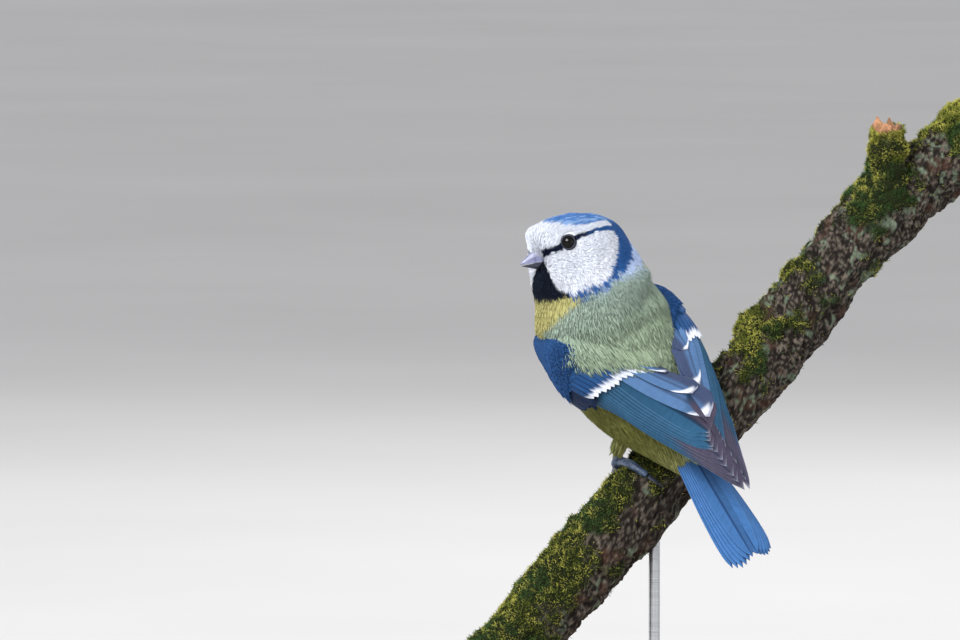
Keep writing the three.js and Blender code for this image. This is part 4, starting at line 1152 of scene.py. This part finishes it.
# Moss on the branch
# Small leafy shoots, thickest on the upper side, towards the lower end and round the foot of the twig.
# Each shoot is a thin closed spike with a three-sided root that stands out from the bark and leans along it.
MOSS_MID, MOSS_BRIGHT, MOSS_GREEN = srgb(108, 114, 42), srgb(184, 180, 84), srgb(60, 88, 44)
MOSS_PLACES, TWIG_MOSS_PLACES = 110000, 12000
moss_paint = Paint("moss", Roughness=0.85, Specular_IOR_Level=0.25)
moss_noise = moss_paint.noise(moss_paint.object_place(), 900)
moss_shade = moss_paint.range(moss_noise, 0.25, 0.75, 0.6, 1.4)
moss = moss_paint.finish(moss_paint.shade(moss_paint.attribute("tint"), moss_shade))


def spikes(root, lean, length, width, draw):
    """Closed spikes: three corners of the root round its middle, a third of a turn apart, and a tip."""
    first = unit(np.cross(lean, draw.standard_normal(lean.shape)))
    second = np.cross(lean, first)
    turns = circle(3)[None, :, None]
    corner = first[:, None] * np.cos(turns) + second[:, None] * np.sin(turns)
    foot = root[:, None] + corner * (width / 2)[:, None, None]
    return np.concatenate([foot, (root + lean * length[:, None])[:, None]], axis=1)


def spike_faces(count):
    """Triangles of count spikes: three sides and a foot."""
    one = np.array([[0, 1, 3], [1, 2, 3], [2, 0, 3], [0, 2, 1]])
    return (np.arange(count)[:, None, None] * 4 + one).reshape(-1, 3)


def moss_piece(name, place, normal, cover, draw, least):
    """Shoots at as many of the places as the cover asks, and never less than the least share. Their colour
    goes by patches, olive, green and bright yellow, dark at the root and lighter at the tip."""
    kept = draw.random(len(place)) < np.clip(cover, least, 1)
    place, normal, cover = place[kept], normal[kept], cover[kept]
    size = len(place)
    lean = unit(normal * 0.75 + 0.75 * draw.standard_normal((size, 3)) + np.array([-0.1, -0.1, 0.25]))
    thick = bark_relief(place) + moss_height(place, cover) - 0.55
    root = place + normal * thick[:, None]
    shape = spikes(root, lean, draw.uniform(0.5, 1.5, size), draw.uniform(0.16, 0.36, size), draw)
    hue, spot = lattice(place, 9, 73), lattice(place, 1.6, 76)
    tint = lay(MOSS_MID, (MOSS_GREEN, soft(hue - 0.55, 0.2)),
               (MOSS_BRIGHT, soft(spot - 0.58 + 0.16 * (0.5 - hue), 0.3) * 0.85))
    tint = tint * draw.uniform(0.55, 1.4, (size, 1))
    ends = np.array([0.55, 0.55, 0.55, 1.25])[None, :, None]
    patch = draw.random((size, 1, 2)) * 0.99 + np.array([[0, 0]] * 3 + [[LEAF_PATCH, LEAF_PATCH]])[None]
    make_piece(name, shape, spike_faces(size), moss, (), tint[:, None] * ends, {"OFBake": patch})


moss_draw = np.random.default_rng(77)
along, angle = moss_draw.uniform(0.005, 0.995, MOSS_PLACES), moss_draw.uniform(0, 2 * np.pi, MOSS_PLACES)
place = perch_point(along, angle)
_, axis, front, upper = perch_frame(along)
normal = unit(front * np.cos(angle)[:, None] + upper * np.sin(angle)[:, None])
moss_piece("perch_moss", place, normal, moss_cover(place, np.sin(angle)), moss_draw, 0.015)
along = moss_draw.uniform(0.0, 0.95, TWIG_MOSS_PLACES)
angle = moss_draw.uniform(0, 2 * np.pi, TWIG_MOSS_PLACES)
place = stub_point(along, angle)
normal = unit(place - STUB_FROM - stub_axis * ((place - STUB_FROM) @ stub_axis)[:, None])
moss_piece("perch_twig_moss", place, normal, moss_cover(place, -np.cos(angle) * 0.5), moss_draw, 0.03)

# Feet
# Strong blue-grey feet that grip the branch, three toes forward and one back, with scutes along the toes.
# Legs, feet and claws keep the solids' shapes, in a scaled skin and dark horn.
scale_paint = Paint("leg_scales", Roughness=0.42, Coat_Weight=0.15, Coat_Roughness=0.3)
scale_place = scale_paint.object_place()
cells = scale_paint.node(
    "ShaderNodeTexVoronoi", {"feature": "DISTANCE_TO_EDGE"}, {"Vector": scale_place, "Scale": 1400})
tone = scale_paint.noise(scale_place, 500)
skin = scale_paint.ramp(tone, (0.3, srgb(40, 54, 76)), (0.7, srgb(88, 108, 138)))
scaled = scale_paint.blend(scale_paint.range(cells, 0.0, 0.12), (*srgb(24, 32, 48), 1), skin)
dress([name for name in nodes if name.startswith(("leg_", "foot_"))],
      scale_paint.finish(scaled, bump=cells, strength=0.5, distance=0.0001))
dress([name for name in nodes if name.startswith("claw_")], mottled(
    "claw_horn", 900, ((0.3, srgb(22, 26, 36)), (0.7, srgb(52, 60, 78))), Roughness=0.3, Coat_Weight=0.3))

# Leg feathers
# Short soft feathers that clothe each leg from the belly nearly down to the toes.
# They are leaves rooted round the solids' leg, lying down along it and standing a little off.
thigh_draw, THIGH_COUNT = np.random.default_rng(91), 700
for name in ("left", "right"):
    corners = np.empty(3 * len(nodes[f"leg_{name}"].data.vertices))
    nodes[f"leg_{name}"].data.vertices.foreach_get("co", corners)
    leg = corners.reshape(-1, 3) * 1000
    height = leg[:, 2]
    upper_end = leg[height > np.percentile(height, 85)].mean(0)
    lower_end = leg[height < np.percentile(height, 15)].mean(0)
    down = unit(lower_end - upper_end)
    across_leg = unit(np.cross(down, [0, 1.0, 0]))
    each = (THIGH_COUNT, 1)
    turn = thigh_draw.uniform(0, 2 * np.pi, each)
    outward = across_leg * np.cos(turn) + np.cross(down, across_leg) * np.sin(turn)
    place = upper_end + down * thigh_draw.uniform(-3.5, 1.5, each)
    place = place + outward * thigh_draw.uniform(0.9, 2.0, each)
    lie = swayed(np.broadcast_to(down, outward.shape), outward, 0.07, thigh_draw)
    length, width, rise = (
        thigh_draw.uniform(low, high, THIGH_COUNT) for low, high in ((3, 5), (0.35, 0.6), (-0.08, 0.08)))
    shape = leaves(place, lie, outward, length, width, rise, 0.25)
    tint = lay(BELLY_WITH_SHADE, (VENT, thigh_draw.random(each))) * 0.9
    patch = leaf_map(np.concatenate([turn / (2 * np.pi), thigh_draw.uniform(0.05, 0.12, each)], axis=1))
    make_piece(f"thigh_{name}", shape, leaf_faces(THIGH_COUNT), plumage, (),
               tint[:, None] * leaf_painted_shading, {"OFBake": patch})

# Stand
# A turned oval base of brown hardwood under satin varnish, and two brushed steel rods up to the branch.
# The solids' own shapes stay, with wood grain along the base's long side and brushing round the rods.
wood_paint = Paint("stand_wood", Roughness=0.35, Coat_Weight=0.3, Coat_Roughness=0.25)
stretch = wood_paint.node(
    "ShaderNodeMapping", {}, {"Vector": wood_paint.object_place(), "Scale": (6, 60, 60)})
rings = wood_paint.noise(stretch, 4, 6, 0.6)
grain = wood_paint.ramp(rings, (0.3, srgb(74, 46, 28)), (0.55, srgb(112, 72, 44)), (0.75, srgb(140, 96, 60)))
dress(("stand_base",), wood_paint.finish(
    grain, wood_paint.range(rings, 0.3, 0.7, 0.3, 0.45), rings, 0.1, 0.0002))
steel_paint = Paint("stand_steel", Metallic=1.0, Roughness=0.3)
brushed = steel_paint.node(
    "ShaderNodeMapping", {}, {"Vector": steel_paint.object_place(), "Scale": (20, 20, 900)})
marks = steel_paint.noise(brushed, 3)
steel = steel_paint.ramp(marks, (0.3, (0.42, 0.43, 0.45)), (0.7, (0.62, 0.63, 0.65)))
dress(("stand_rod_low", "stand_rod_high"), steel_paint.finish(
    steel, steel_paint.range(marks, 0.3, 0.7, 0.25, 0.42)))

# Floor, light and camera
# A plain pale floor and soft light from above and from the left, as in an overcast wood's edge.
# The camera stands three metres off with a long lens, a little above the bird, as the photograph was taken.
FLOOR_HALF = 12.0
floor_mesh = bpy.data.meshes.new("floor")
floor_corners = [(x * FLOOR_HALF, y * FLOOR_HALF, 0) for x, y in ((-1, -1), (1, -1), (1, 1), (-1, 1))]
floor_mesh.from_pydata(floor_corners, [], [(0, 1, 2, 3)])
floor_mesh.materials.append(
    mottled("floor", 3, ((0.3, (0.62, 0.61, 0.6)), (0.7, (0.66, 0.65, 0.64))), Roughness=0.9))
floor = bpy.data.objects.new("floor", floor_mesh)
bpy.context.scene.collection.objects.link(floor)

world = bpy.data.worlds.new("studio")
world.use_nodes = True
world.node_tree.nodes["Background"].inputs[0].default_value = (0.86, 0.87, 0.9, 1)
world.node_tree.nodes["Background"].inputs[1].default_value = 0.75
bpy.context.scene.world = world
bpy.context.scene.view_settings.view_transform = "Standard"


def lamp(name, place, target, size, power, colour):
    """A square soft light at a place, turned to its target."""
    light = bpy.data.lights.new(name, "AREA")
    light.size, light.energy, light.color = size, power, colour
    lamp_object = bpy.data.objects.new(name, light)
    lamp_object.location = place
    away = Vector(place) - Vector(target)
    lamp_object.rotation_euler = away.to_track_quat("Z", "Y").to_euler()
    bpy.context.scene.collection.objects.link(lamp_object)


MIDDLE = (-0.02, 0, 0.11)
lamp("key", (-0.7, -1.0, 0.9), MIDDLE, 0.6, 21, (0.98, 0.99, 1))
lamp("fill", (0.9, -0.9, 0.5), MIDDLE, 0.9, 3, (0.94, 0.97, 1))
lamp("back", (0.2, 0.9, 0.9), MIDDLE, 0.6, 6, (1, 1, 1))

CAMERA_DISTANCE, CAMERA_LENS, CAMERA_HEIGHT = 3.0, 420, math.radians(3.5)
CAMERA_TARGET = (-0.0495, 0, 0.115)
camera_data = bpy.data.cameras.new("camera")
camera_data.lens, camera_data.sensor_width = CAMERA_LENS, 36
camera = bpy.data.objects.new("camera", camera_data)
camera.location = (CAMERA_TARGET[0], -CAMERA_DISTANCE * math.cos(CAMERA_HEIGHT),
                   CAMERA_TARGET[2] + CAMERA_DISTANCE * math.sin(CAMERA_HEIGHT))
camera.rotation_euler = (math.pi / 2 - CAMERA_HEIGHT, 0, 0)
bpy.context.scene.collection.objects.link(camera)
bpy.context.scene.camera = camera

bpy.context.view_layer.update()
